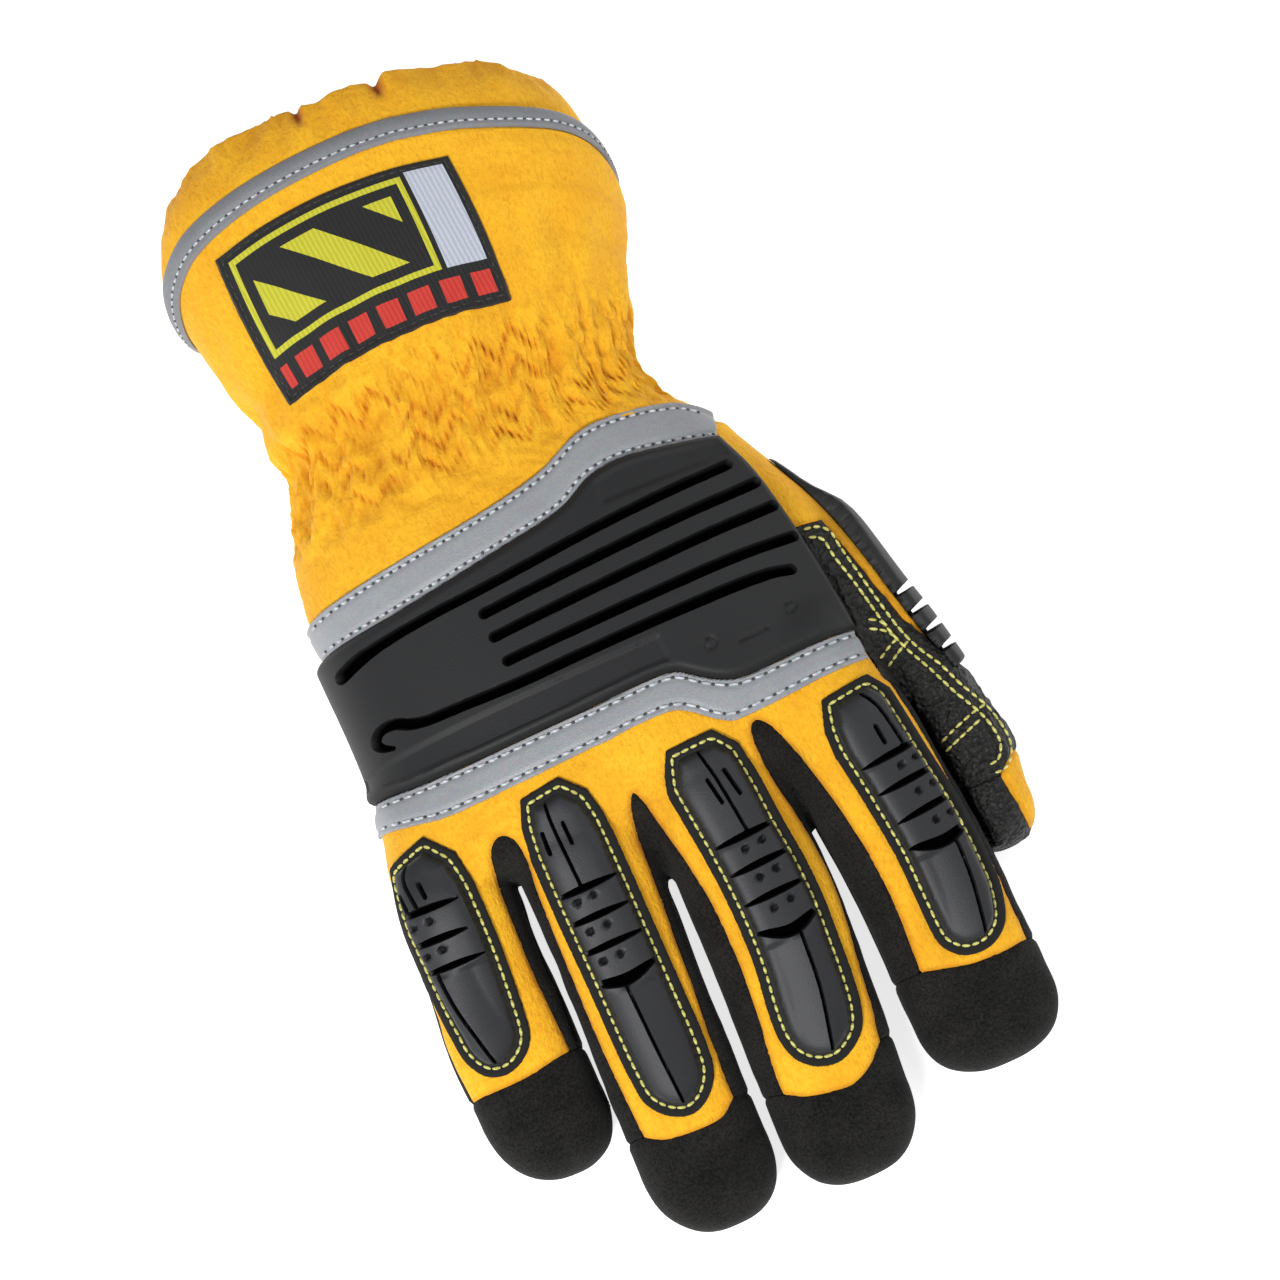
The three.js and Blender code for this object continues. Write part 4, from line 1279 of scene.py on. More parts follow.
@dataclass
class TapeBand:
    """A reflective tape sewn across the back of the hand by a row of stitches along each edge."""

    name: str
    pattern: Pattern
    upper: Line
    lower: Line
    end: Edge                     # where it ends, towards the thumb
    gaps: tuple[float, float]     # between its upper and lower edges and those lines
    span: tuple[float, float]     # x from its first to its last stitch
    stitch: Stitch
    sewn_in: float = 1.35         # from each edge to its row of stitches
    thick: float = 0.9
    lift: float = 0.15

    def region(self, p: Array) -> Array:
        """Inside the tape."""
        return np.minimum.reduce([-self.upper.past(p) - self.gaps[0], self.lower.past(p) - self.gaps[1],
                                  -self.end.beyond(p), self.pattern.back(p) - 1.0])

    def build(self, skin: Skin, dresser: Dresser, sewing: Sewing) -> None:
        """Makes the tape and its two rows of stitches."""
        strip = skin.fine_cut(self.region)
        p = strip.points
        edge = np.maximum(self.region(p), 0)
        across = np.minimum(-self.upper.past(p), self.lower.past(p))
        sewn = bump(across - self.sewn_in, 0.7)
        over = self.lift + self.thick * (0.55 + 0.45 * dome(edge, 0.6)) - 0.38 * sewn + 0.1 * noise(p, 7, 3)
        # Shade painted along the stitches is stored here, though the tape's finish does not read it
        made = Shell.thick(strip, over, -self.lift, crease=0.2 * sewn)
        dresser.make(self.name, made, Look.TAPE, "reflective_tape", (self.name,))
        tree = made.tree()
        x = np.linspace(*self.span, 200)
        rows = []
        for line, side in ((self.upper, -1), (self.lower, 1)):
            slope = np.interp(x, line.x, line.slope)
            push = side * self.sewn_in / np.sqrt(1 + slope**2)
            path = np.stack([x - push * slope, line.at(x) + push], 1)
            rows.append(sewing.drape(path, self.stitch, tree))
        sewing.sew(f"{self.name}_stitches", rows, self.stitch, "reflective_tape")
        # Dark dots of painted shade at the needle's holes
        sewing.prick(f"{self.name}_needle_hole_shades", rows, self.stitch, "reflective_tape")


# Moulded guards
def carve(distance: Array, half: float, wall: float = 0.25) -> Array:
    """One inside a cut of a half width, zero outside, with steep walls."""
    return 1 - ramp(distance, half - wall, half + wall)


@dataclass
class KnuckleGuard:
    """The broad moulded guard over the knuckles, with long slots pressed into it."""

    pattern: Pattern
    rim: float = 1.0              # height of its edge above the cloth
    height: float = 3.3
    edge_round: float = 2.0
    slot_depth: float = 2.3
    wall: float = 0.28

    SLOTS = [
        [(-63.4, 19.6, 1.7), (-59.7, 20.5, 1.7), (-55.4, 21.1, 1.4), (-50.5, 21.5, 1.2), (-39.2, 22.1, 1.15),
         (-28, 22.5, 1.15), (-18.7, 23.1, 1.15), (0, 24.6, 1.15), (14.8, 25.6, 1.2), (33, 26.7, 1.2)],
        [(-29.5, 17.1, 1.2), (-9.8, 18.1, 1.25), (9.8, 19.1, 1.25), (24.7, 19.9, 1.25), (37.2, 20.6, 1.25)],
        [(-29.5, 11.3, 1.2), (9.8, 12.8, 1.25), (24.7, 13.6, 1.3), (38.8, 14.3, 1.3)],
        [(-28.9, 5.1, 1.2), (9.8, 5.8, 1.25), (24.6, 6.2, 1.3), (34.7, 6.3, 1.3), (40.2, 6.2, 1.3)],
        [(-59.4, -1.1, 0.35), (-61.3, -0.1, 0.75), (-62.4, 1.5, 1.05), (-61.9, 3, 1.15), (-60, 4, 1.15),
         (-57, 3.6, 1.25), (-54.2, 2, 1.3), (-50.5, 0.9, 1.2), (-43, 0.3, 1.2), (-29, -0.5, 1.25),
         (-10, -0.3, 1.25), (10, -0.1, 1.3), (31.6, -0.1, 1.35), (36.6, -0.8, 1.3)],
    ]
    RINGS = [(13.7, -9.8), (33, -9.1)]
    DASH = [(19.6, -12.1), (26.5, -11.6)]

    def region(self, p: Array) -> Array:
        """Inside the guard."""
        pattern = self.pattern
        return np.minimum.reduce([-pattern.GUARD_TOP.past(p), pattern.GUARD_FOOT.past(p),
                                  -pattern.GUARD_SIDE.beyond(p), pattern.back(p) - 3.5])

    def slots(self, p: Array) -> Array:
        """Distance outside the nearest slot's wall, negative in a slot."""
        away = []
        for row in self.SLOTS:
            line = spline(row, 4)
            long = lengths(line[:, :2])
            distance, along = line_distance(p, line[:, :2])
            away.append(distance - 0.87 * np.interp(along * long[-1], long, line[:, 2]))
        return np.minimum.reduce(away)

    def build(self, skin: Skin, dresser: Dresser) -> None:
        """Makes the guard."""
        plate = skin.fine_cut(self.region)
        plate = plate.split(self.region, (0.35, 1.0), 0.08)
        plate = plate.split(self.slots, (-self.wall, self.wall), 0.06)
        p = plate.points
        edge = np.maximum(self.region(p), 0)
        pressed = 1 - ramp(self.slots(p), -self.wall, self.wall)
        height = self.rim + (self.height - self.rim) * dome(edge, self.edge_round)
        # Two shallow steps: one at the foot, towards the little finger, and one at the top, towards the thumb
        inner = ramp(edge, 2.0, 2.8)
        low_step = (1 - ramp(p[:, 1], -4.0, -3.2)) * (1 - ramp(p[:, 0], 3.5, 4.5)) * inner
        top_step = ramp(p[:, 0], 4, 5.5) * ramp(p[:, 1], 28.6, 29.6) * inner
        height = height - 0.5 * low_step - 0.4 * top_step
        for x, y in self.RINGS:
            height = height - 0.35 * bump(np.hypot(p[:, 0] - x, p[:, 1] - y) - 1.3, 0.35)
        height = height - 0.3 * carve(line_distance(p, self.DASH)[0], 0.35)
        height = height - self.slot_depth * pressed * ramp(edge, 0.3, 1.5)
        # Painted shade in the slots
        made = Shell.thick(plate, np.maximum(height, GUARD_RIM), -GUARD_BASE, crease=pressed,
                           flange=0.5 * (1 - ramp(edge, 0.5, 1.2)))
        dresser.make("knuckle_guard", made, Look.KNUCKLE, "guard_rubber", ("knuckle_guard",), sharp=38)


@dataclass
class FingerGuard:
    """A moulded finger guard: a sewn flange round a raised body with ribs, slits and a ridged toe."""

    name: str
    outline: Sequence[Sequence[float]]
    slit: Sequence[Sequence[float]]
    side_slits: Sequence[Sequence[Sequence[float]]]
    grooves: Sequence[Sequence[Sequence[float]]]
    crescent: Sequence[Sequence[float]] | None
    dimples: Sequence[Sequence[float]]
    ridge: Sequence[Sequence[float]]
    above: float = 17.0
    wrap: float = 0.0             # how much the drop down the finger's left side counts as distance across
    flange: float = 1.15
    body: float = 3.4
    sewn_in: float = 2.0
    body_in: tuple[float, float] = (2.9, 3.7)
    groove_half: float = 0.72
    groove_depth: float = 2.0
    slit_half: float = 0.26
    dimple: float = 0.72
    wall: float = 0.15            # half the width of a cut's wall, seen from above

    def __post_init__(self) -> None:
        """Rounds the outline, all but the corners of its head."""
        rounded = spline(self.outline[3:-1], 4)
        self.shape = Outline(np.vstack([self.outline[:3], rounded, self.outline[-1:]]), 0)

    def region(self, p: Array) -> Array:
        """Inside the guard."""
        return np.minimum(self.shape.inside(self.flat(p)), p[:, 2] - self.above)

    def flat(self, p: Array) -> Array:
        """The points with the finger's rounded left side laid flat."""
        shoulder = np.interp(p[:, 1], (-80, -20), (20.5, 31.5))
        drop = self.wrap * np.maximum(shoulder - p[:, 2], 0) * (p[:, 0] < self.outline[1][0])
        return p - drop[:, None] * (1.0, 0.0, 0.0)

    def wrapped(self, path: Array, plate: Array, outer: Array) -> Array:
        """Carries a path that was drawn on the flat to the guard's outer face.

        Args:
            path: its points.
            plate: points of the form under the guard.
            outer: points of the guard's outer face, in the same order.

        Returns:
            The path's points in space.
        """
        flat = self.flat(plate)[:, :2]
        path = follow(path, np.arange(0, lengths(path)[-1], 0.8))
        near = [np.argsort(((flat - spot) ** 2).sum(1))[:5] for spot in path]
        row = np.array([outer[k].mean(0) for k in near])
        row = (np.roll(row, 1, 0) + row + np.roll(row, -1, 0)) / 3
        return np.vstack([row, row[:1]])

    def cuts(self, p: Array) -> Array:
        """Distance outside the nearest groove or slit, negative inside it."""
        p = self.flat(p)
        away = [line_distance(p, spline(line, 4))[0] - self.slit_half for line in (self.slit, self.ridge)]
        away += [line_distance(p, slit)[0] - self.slit_half - 0.08 for slit in self.side_slits]
        lenses = [(groove, self.groove_half) for groove in self.grooves]
        if self.crescent:
            lenses.append((spline(self.crescent, 6), 1.3))
        for line, half in lenses:
            ends = np.asarray(line, float)
            on = (ends[-1] - ends[0]) / np.linalg.norm(ends[-1] - ends[0])
            distance, along = line_distance(p, np.vstack([ends[0] - on, ends, ends[-1] + on]))
            away.append(distance - half * np.sin(np.pi * np.clip(along, 0.02, 0.98)) ** 0.7)
        return np.minimum.reduce(away)

    def build(self, skin: Skin, dresser: Dresser, sewing: Sewing) -> None:
        """Makes the guard and the stitches round its flange."""
        plate = skin.fine_cut(self.region)
        plate = plate.split(self.region, (0.45, *self.body_in), 0.07)
        plate = plate.split(self.cuts, (-self.wall, self.wall), 0.04)
        edge = np.maximum(self.region(plate.points), 0)
        p = self.flat(plate.points)
        raised = ramp(edge, *self.body_in)
        height = GUARD_RIM + (self.flange - GUARD_RIM) * dome(edge, 0.5)
        height = height - 0.32 * bump(edge - self.sewn_in, 0.5)
        rounded = 0.72 + 0.28 * dome(edge - self.body_in[1], 3.0)
        height = height + raised * (self.body - self.flange) * rounded
        ridge, _ = line_distance(p, spline(self.ridge, 4))
        toe = ramp(self.ridge[0][1] - p[:, 1], 0.0, 1.5)
        ribs = ramp(self.grooves[0][0][1] - p[:, 1], 0.0, 1.5) * (1 - toe)
        height = height + raised * (1.3 * toe * (1 - np.clip(ridge / 6.0, 0, 1)) - 0.5 * toe + 0.3 * ribs)
        cut = 1 - ramp(self.cuts(plate.points), -self.wall, self.wall)
        holes = np.zeros(len(p))
        for x, y in self.dimples:
            holes = np.maximum(holes, carve(np.hypot(p[:, 0] - x, p[:, 1] - y), self.dimple))
        height = height - raised * np.maximum(self.groove_depth * cut, 0.8 * holes)
        # Painted shade in the grooves, slits and dimples
        crease = np.clip(raised * np.maximum(cut, 0.8 * holes), 0, 1)
        flange = 1 - ramp(edge, self.body_in[0] - 0.3, self.body_in[0] + 0.2)
        made = Shell.thick(plate, height, -GUARD_BASE, crease=crease, flange=flange)
        name = f"{self.name}_guard"
        dresser.make(name, made, Look.RUBBER, "guard_rubber", (name,), sharp=36)
        stitch = Stitch(Look.YELLOW_THREAD, length=2.0, pitch=2.2, thick=0.82)
        path = self.shape.inset(self.sewn_in)
        path = np.vstack([path, path[:1]])
        if self.wrap:
            path = self.wrapped(path, plate.points, made.vertices[:len(plate.points)])
        row = sewing.drape(path, stitch, made.tree())
        shown = row[0][:, 2] > self.above + 1.2
        sewing.sew(f"{name}_stitches", [tuple(part[shown] for part in row)], stitch, "guard_rubber")


FINGER_GUARDS = [
    FingerGuard(
        "little",
        [(-73.8, -25), (-63, -22.2), (-57.6, -28.4), (-56.7, -34.8), (-56.8, -46.5), (-57.4, -56.8),
         (-58.3, -66.9), (-59.4, -72.6), (-62.6, -76.4), (-67.7, -78.2), (-72.1, -76.6), (-74.9, -72.1),
         (-75.7, -65.9), (-76.1, -57.7), (-76.3, -49), (-76.3, -40.2), (-75.4, -31.6)],
        [(-67.6, -26.4), (-69.4, -30.1), (-69.3, -37.2)],
        [[(-71.4, -32.8), (-71.3, -36.2)], [(-67.2, -32.2), (-67.1, -35.4)]],
        [[(-74.2, -37.2), (-62.4, -37.9)], [(-74.2, -43.9), (-62.5, -44.3)], [(-73.6, -50.5), (-62, -50.9)]],
        None,
        [(-71.4, -40.2), (-68.2, -40.1), (-71.4, -46.8), (-68.3, -46.6)],
        [(-71, -51.7), (-70.7, -60.4), (-69.5, -68.2), (-68.1, -75.5)],
        above=16.0, wrap=0.8),
    FingerGuard(
        "ring",
        [(-39.2, -24.4), (-29.4, -23.3), (-24.5, -28.3), (-23.3, -34.1), (-23.2, -46.7), (-23.3, -61),
         (-23.4, -75.3), (-23.6, -89.7), (-24.6, -96.5), (-28.1, -101.3), (-32.5, -103.3), (-37.4, -101.8),
         (-41.3, -97.4),
         (-42.3, -91.6), (-42.5, -65.7), (-42.6, -51.4), (-42.4, -36.9), (-41.6, -30.2)],
        [(-34.3, -27.6), (-34.6, -31.5), (-34.3, -46.9)],
        [[(-37.2, -32.9), (-37.2, -38.1)], [(-32.4, -32.6), (-32.4, -37.8)]],
        [[(-40.2, -47.5), (-27.4, -47.4)], [(-40.2, -54.2), (-27.4, -54.1)], [(-40.7, -61.2), (-27, -60.9)]],
        [(-40.3, -68.1), (-33.4, -69.6), (-27, -68.1)],
        [(-36.3, -49.8), (-32.8, -49.7), (-36.4, -56.9), (-32.7, -56.8), (-36.5, -64), (-32.7, -63.9)],
        [(-34.3, -70.6), (-34, -85), (-33.4, -99.4)]),
    FingerGuard(
        "middle",
        [(-4.9, -27.8), (6.4, -27.4), (10.8, -32.4), (12, -42), (12.7, -51.7), (13.7, -61.2), (14, -70.7),
         (13.5, -80.3), (12.8, -89.9), (11.8, -96.5), (9.8, -101.4), (5.9, -104.7), (2, -106), (-3, -104.7),
         (-6.4, -101.4), (-7.9, -96.5), (-7.7, -89.9), (-6.4, -80.3), (-5.9, -70.7), (-6.1, -61.2),
         (-6.8, -51.7), (-7.8, -42), (-8.4, -36.2), (-7.3, -32.4)],
        [(1.5, -30.8), (2.9, -38.2), (4.4, -51.1)],
        [[(1, -37.5), (2, -43)], [(4.9, -36.9), (6, -42.6)]],
        [[(-2.9, -51.8), (10.5, -51.1)], [(-2.4, -58.8), (10.8, -58.1)], [(-2, -66), (10.8, -65.4)]],
        [(-2, -72.7), (4.4, -74.6), (10.8, -72.4)],
        [(2.4, -54.3), (6.2, -53.9), (2.8, -61.3), (6.6, -60.9), (2.9, -68.7), (6.8, -68.2)],
        [(5.9, -75.5), (4.9, -88), (2, -102.4)]),
    FingerGuard(
        "index",
        [(31.8, -31.3), (43.3, -29.7), (46.8, -34.3), (49.3, -50.8), (51.4, -65.1), (52, -79.6),
         (51.8, -84.4), (49.5, -92.2), (45.5, -95.6), (41.5, -96.3), (37.6, -95.3), (34.6, -92.4),
         (33.6, -89.5), (33.2, -79.9), (33, -70.3), (31.4, -56.1), (29.5, -43.8), (29.6, -38.1)],
        [(39.7, -34), (41.7, -37.8), (43.7, -47.8)],
        [[(39.8, -41.2), (40.3, -45.1)], [(44.2, -40.2), (44.8, -44)]],
        [[(34.8, -48.5), (47.8, -47.2)], [(35.8, -55.2), (48.8, -54)], [(37.3, -62.5), (49.8, -61.1)]],
        [(37.3, -68.9), (43.7, -70), (49.3, -68.3)],
        [(41.5, -51), (44.6, -50.6), (42.7, -57.8), (45.8, -57.4), (43.7, -65.1), (46.8, -64.8)],
        [(45.7, -70.9), (45.5, -80), (43.8, -93.5)]),
]


@dataclass
class ThumbGuard:
    """The moulded guard along the thumb's outer side, smooth at its root and toothed past it."""

    low: float = 4.0
    high: float = 26.0
    end: float = -34.4
    gaps: tuple[float, ...] = (-12.2, -17.8, -23.4, -29.0)
    gap: float = 1.5
    slant: tuple[float, float] = (0.21, 0.17)    # how far the gaps run up the hand, for each mm out and down
    pressed: float = 2.1          # how far the toothed part presses the cloth in
    root: float = 1.0             # height of the strip that holds the teeth together
    wall: float = 0.25            # half the width of a tooth's side, seen from above
    base: float = 0.25

    # Height above the form for each y, from its root to its end
    PROFILE = np.array([(28, 0.6), (24, 1.0), (20, 1.3), (17, 1.8), (14, 2.8), (11, 3.8), (8, 4.1), (5, 4.0),
                        (0, 3.6), (-5, 3.3), (-10, 3.1), (-15, 3.0), (-20, 2.9), (-25, 2.6), (-31, 2.2),
                        (-36, 1.8)])[::-1]
    TOP = Edge([(36, 40), (42, 26.5), (46.2, 19), (50.4, 11.5), (52.7, 5), (54.4, -1.5), (56.1, -8.5),
                (57.5, -14.6), (59.1, -21), (61.4, -28), (64, -36), (65, -40)])

    def region(self, p: Array) -> Array:
        """Inside the guard."""
        return np.minimum.reduce([self.TOP.beyond(p), p[:, 2] - self.low, self.high - p[:, 2],
                                  self.along(p) - self.end, 27 - p[:, 1]])

    def along(self, p: Array) -> Array:
        """How far along the guard points are, square to its edge."""
        return p[:, 1] - self.slant[0] * (p[:, 0] - 57) + self.slant[1] * (p[:, 2] - 14)

    def press(self, p: Array) -> Array:
        """How far the guard presses the cloth in."""
        return self.pressed * ramp(self.region(p), 0.2, 1.6) * ramp(-p[:, 1], 9.0, 12.5)

    def gaps_at(self, p: Array) -> Array:
        """Distance outside the nearest gap between teeth, negative inside it."""
        along = self.along(p)
        return np.minimum.reduce([np.abs(along - y) - self.gap / 2 for y in self.gaps])

    def build(self, skin: Skin, dresser: Dresser) -> None:
        """Makes the guard."""
        plate = skin.fine_cut(self.region)
        plate = plate.split(self.gaps_at, (-self.wall, self.wall), 0.06)
        p = plate.points
        edge = np.maximum(self.region(p), 0)
        full = np.interp(p[:, 1], *self.PROFILE.T)
        height = GUARD_RIM + (full - GUARD_RIM) * dome(edge, 0.8)
        open_gap = 1 - ramp(self.gaps_at(p), -self.wall, self.wall)
        press = self.press(p)
        height = height * (1 - open_gap) + (self.root - press) * open_gap
        # Painted shade in the gaps between the teeth
        made = Shell.thick(plate, height, press - self.base, crease=0.9 * open_gap, flange=np.zeros(len(p)))
        dresser.make("thumb_guard", made, Look.KNUCKLE, "guard_rubber", ("thumb_guard",), sharp=36)


# The gauntlet
@dataclass
class LooseCloth:
    """Cloth laid in loose waves, which seams and elastic pull onto the sleeve, so that it buckles."""

    frames: int = 26
    levels: int = 20              # steps in which a vertex's weights are given
    enlarged: float = 0.01        # millimetres to simulated metres, ten times life size for the solver
    weight: float = 0.2
    stretch: float = 20.0
    bend: float = 0.5

    def buckle(self, smooth: Array, loose: Array, spare: Array, held: Array) -> Array:
        """Simulates the cloth.

        Args:
            smooth: the sleeve's points by row and column, without folds.
            loose: where the cloth lies before it is pulled in.
            spare: how much larger still the cloth was cut at each point, as a share.
            held: how firmly each point is sewn to the sleeve, from 0 to 1.

        Returns:
            How far each point moves from the smooth sleeve, in millimetres.
        """
        index = np.arange(smooth[..., 0].size).reshape(smooth.shape[:2])
        faces = quads_of(np.pad(index, ((0, 0), (0, 1)), mode="wrap"))
        mesh = bpy.data.meshes.new("loose cloth")
        mesh.from_pydata((loose.reshape(-1, 3) * self.enlarged).tolist(), [], faces.tolist())
        cloth = bpy.data.objects.new("loose cloth", mesh)
        bpy.context.collection.objects.link(cloth)
        cloth.shape_key_add(name="loose")
        sewn = cloth.shape_key_add(name="sewn")
        sewn.data.foreach_set("co", (smooth.reshape(-1, 3) * self.enlarged).ravel())
        for name, shares in (("held", held), ("fitted", 1 - spare / spare.max())):
            group = cloth.vertex_groups.new(name=name)
            steps = np.rint(shares.reshape(-1) * self.levels).astype(int)
            for step in range(1, self.levels + 1):
                group.add(np.nonzero(steps == step)[0].tolist(), step / self.levels, "REPLACE")
        modifier = cloth.modifiers.new("cloth", "CLOTH")
        for owner, values in (
                (modifier.point_cache, {"frame_start": 1, "frame_end": self.frames}),
                (modifier.collision_settings, {"use_collision": False, "use_self_collision": False}),
                (modifier.settings.effector_weights, {"gravity": 0.0}),
                (modifier.settings, {
                    "quality": 4, "mass": self.weight, "tension_stiffness": self.stretch,
                    "compression_stiffness": self.stretch, "shear_stiffness": self.stretch / 2,
                    "bending_stiffness": self.bend, "air_damping": 2.0, "vertex_group_mass": "held",
                    "vertex_group_shrink": "fitted", "shrink_min": -float(spare.max()), "shrink_max": 0.0})):
            for key, value in values.items():
                setattr(owner, key, value)
        for frame_number in range(1, self.frames + 1):
            sewn.value = min((frame_number - 1) / (0.6 * self.frames), 1.0)
            bpy.context.scene.frame_set(frame_number)
        moved = np.empty(smooth.size)
        graph = bpy.context.evaluated_depsgraph_get()
        cloth.evaluated_get(graph).data.vertices.foreach_get("co", moved)
        bpy.data.objects.remove(cloth)
        bpy.data.meshes.remove(mesh)
        bpy.context.scene.frame_set(1)
        return moved.reshape(smooth.shape) / self.enlarged - smooth


@dataclass
class Gauntlet:
    """The cuff: a sleeve gathered by elastic at the wrist, flared, taped and hemmed at its mouth."""

    dresser: Dresser
    sewing: Sewing
    around: int = 480
    radius: float = 32.6            # of a circle as long as the sleeve's outline
    step: float = 0.75              # between rows of the mesh, in millimetres
    wall: float = 1.8
    tape: tuple[float, float] = (105.0, 111.0)
    mouth: float = 126.8
    lower_lean: float = 0.3
    elastic_rows: tuple[float, ...] = (53.5, 59.0, 64.5, 70.0)
    zigzag: float = 2.4
    pucker: float = 1.9             # between the puckers that the zigzag's stitches make
    pleats: tuple[float, ...] = (-23.0, -3.5)
    zigzag_period: float = 8.2
    turned_in: int = 13             # rows of the hem's inner face that its outer cloth covers
    tape_sewn: float = 1.8          # from the tape's lower edge to its stitches
    patch_size: tuple[float, float] = (58.5, 35.5)
    patch_grid: tuple[int, int] = (96, 60)

    ROWS = [  # y, x, half, low, wide, top, lean
        (24, -12.3, 56.5, -1, 19, 45, 0), (38, -15.3, 54.2, -1, 19, 45, 0), (54, -18.7, 46.9, 0, 20, 44.5, 0),
        (61, -18, 44.6, 1.5, 20, 44.5, 0.05), (68, -16.2, 43.8, 2, 21, 45.7, 0.1),
        (75, -15.6, 45.2, 2, 22.5, 49, 0.18), (83, -14.3, 46.6, 1.5, 25, 53, 0.27),
        (93, -14.1, 50, 1.5, 28.3, 58, 0.4),
        (104.2, -14.4, 52.8, 1.5, 30.5, 61.5, 0.5), (111, -15.6, 53.2, 1.5, 31, 61.5, 0.5),
        (118, -15.4, 51.6, 2.5, 31, 60.5, 0.5), (126.8, -14.8, 47.2, 4.5, 31, 58, 0.5)]
    SHORT = np.array([  # how much shorter the hem is at each x
        (-66, 2.5), (-60, 2.2), (-55, 2.8), (-50, 0.7), (-45, 0.4), (-40, 1.7), (-30, 1.7), (-25, 1.2),
        (-20, 3.6), (-14, 3.7), (-8, 3.0), (-4, 3.4), (2, 1.9), (8, 1.2), (15, 0.6), (20, -0.9), (25, 2.0),
        (31, 1.6), (36, 0)]).T
    SLANT = np.array([  # how much farther the mouth reaches at each x
        (-68, 3.3), (-58, 3.7), (-48, 3.2), (-38, 3.0), (-28, 2.9), (-14, 2.8), (-5, 2.1), (0, 1.3), (5, 0.6),
        (10, -0.2), (15, -1.2), (20, -1.9), (25, -2.3), (38, -2.4)]).T
    PATCH_TOP = [(-53.3, 116.2), (-39, 117.8), (-24, 118.3), (-9, 117.3), (4.8, 114.9)]
    PATCH_FOOT = [(-51.4, 80.9), (-38, 82.6), (-24, 83.2), (-9, 82.8), (4.8, 81.3)]

    def __post_init__(self) -> None:
        """Tabulates the sleeve's sections, evenly spaced round their outline from the middle underneath."""
        dense = spline(self.ROWS, 12)
        self.y = np.linspace(26, self.mouth, 260)
        rows = np.stack([np.interp(self.y, dense[:, 0], dense[:, i]) for i in range(1, 7)], 1)
        t = np.linspace(-math.pi / 2, 1.5 * math.pi, 721)
        px, pz = (np.sign(way) * np.abs(way) ** (2 / POWER) for way in (np.cos(t), np.sin(t)))
        self.x_at = np.empty((len(self.y), self.around))
        self.z_at = np.empty_like(self.x_at)
        for k, (x, half, low, wide, top, _) in enumerate(rows):
            ring = np.stack([x + half * px, wide + np.where(pz > 0, top - wide, wide - low) * pz], 1)
            at = np.arange(self.around) * lengths(ring)[-1] / self.around
            self.x_at[k], self.z_at[k] = follow(ring, at).T
        self.wide, self.lean = rows[:, 3], rows[:, 5]

    def surface(self, y: Array) -> Array:
        """Points of the smooth sleeve.

        Args:
            y: for each row and column of the mesh, where along the sleeve it is, before its lean.

        Returns:
            The points, by row and column.
        """
        columns = np.arange(self.around)
        k = np.clip((y - self.y[0]) / (self.y[1] - self.y[0]), 0, len(self.y) - 1.001)
        low = k.astype(int)
        t = k - low
        x = self.x_at[low, columns] * (1 - t) + self.x_at[low + 1, columns] * t
        z = self.z_at[low, columns] * (1 - t) + self.z_at[low + 1, columns] * t
        wide, lean = (np.interp(y, self.y, value) for value in (self.wide, self.lean))
        rise = z - wide
        share = self.lower_lean + (1 - self.lower_lean) * ramp(rise, -14, 14)
        slant = np.interp(x, *self.SLANT) * ramp(y, 84, 104)
        return np.stack([x, y + lean * share * rise + slant, np.maximum(z, 0.35)], -1)

    @staticmethod
    def outward(points: Array) -> Array:
        """Outward directions of a grid of points that closes round its columns."""
        across = np.roll(points, -1, axis=1) - np.roll(points, 1, axis=1)
        along = np.gradient(points, axis=0)
        return unit(np.cross(along, across))

    def rows(self, start: Array | float, end: Array | float) -> Array:
        """Evenly spaced rows of y between two borders."""
        start, end = (np.broadcast_to(border, self.around) for border in (start, end))
        count = max(int(round((end - start).mean() / self.step)), 2)
        t = np.linspace(0, 1, count + 1)[:, None]
        return start * (1 - t) + end * t

    def seam(self) -> Array:
        """For each column, the y where the sleeve is sewn to the hand."""
        y = np.full(self.around, 40.0)
        for _ in range(12):
            at = self.surface(y[None])[0]
            y = 0.5 * y + 0.5 * np.clip(Pattern.CUFF_LINE.at(at[:, 0]) + 0.12, 27, 60)
        return y

    def zigzag_at(self, y: Array) -> Array:
        """How far points of the sleeve, by row and column, lie from the zigzags sewn along the elastic."""
        turns = np.arange(self.around) / self.around * math.tau * self.radius / self.zigzag_period
        phase = (1 - 4 * np.abs(turns % 1 - 0.5)) * self.zigzag
        return np.minimum.reduce([np.abs(y - row - phase) for row in self.elastic_rows])

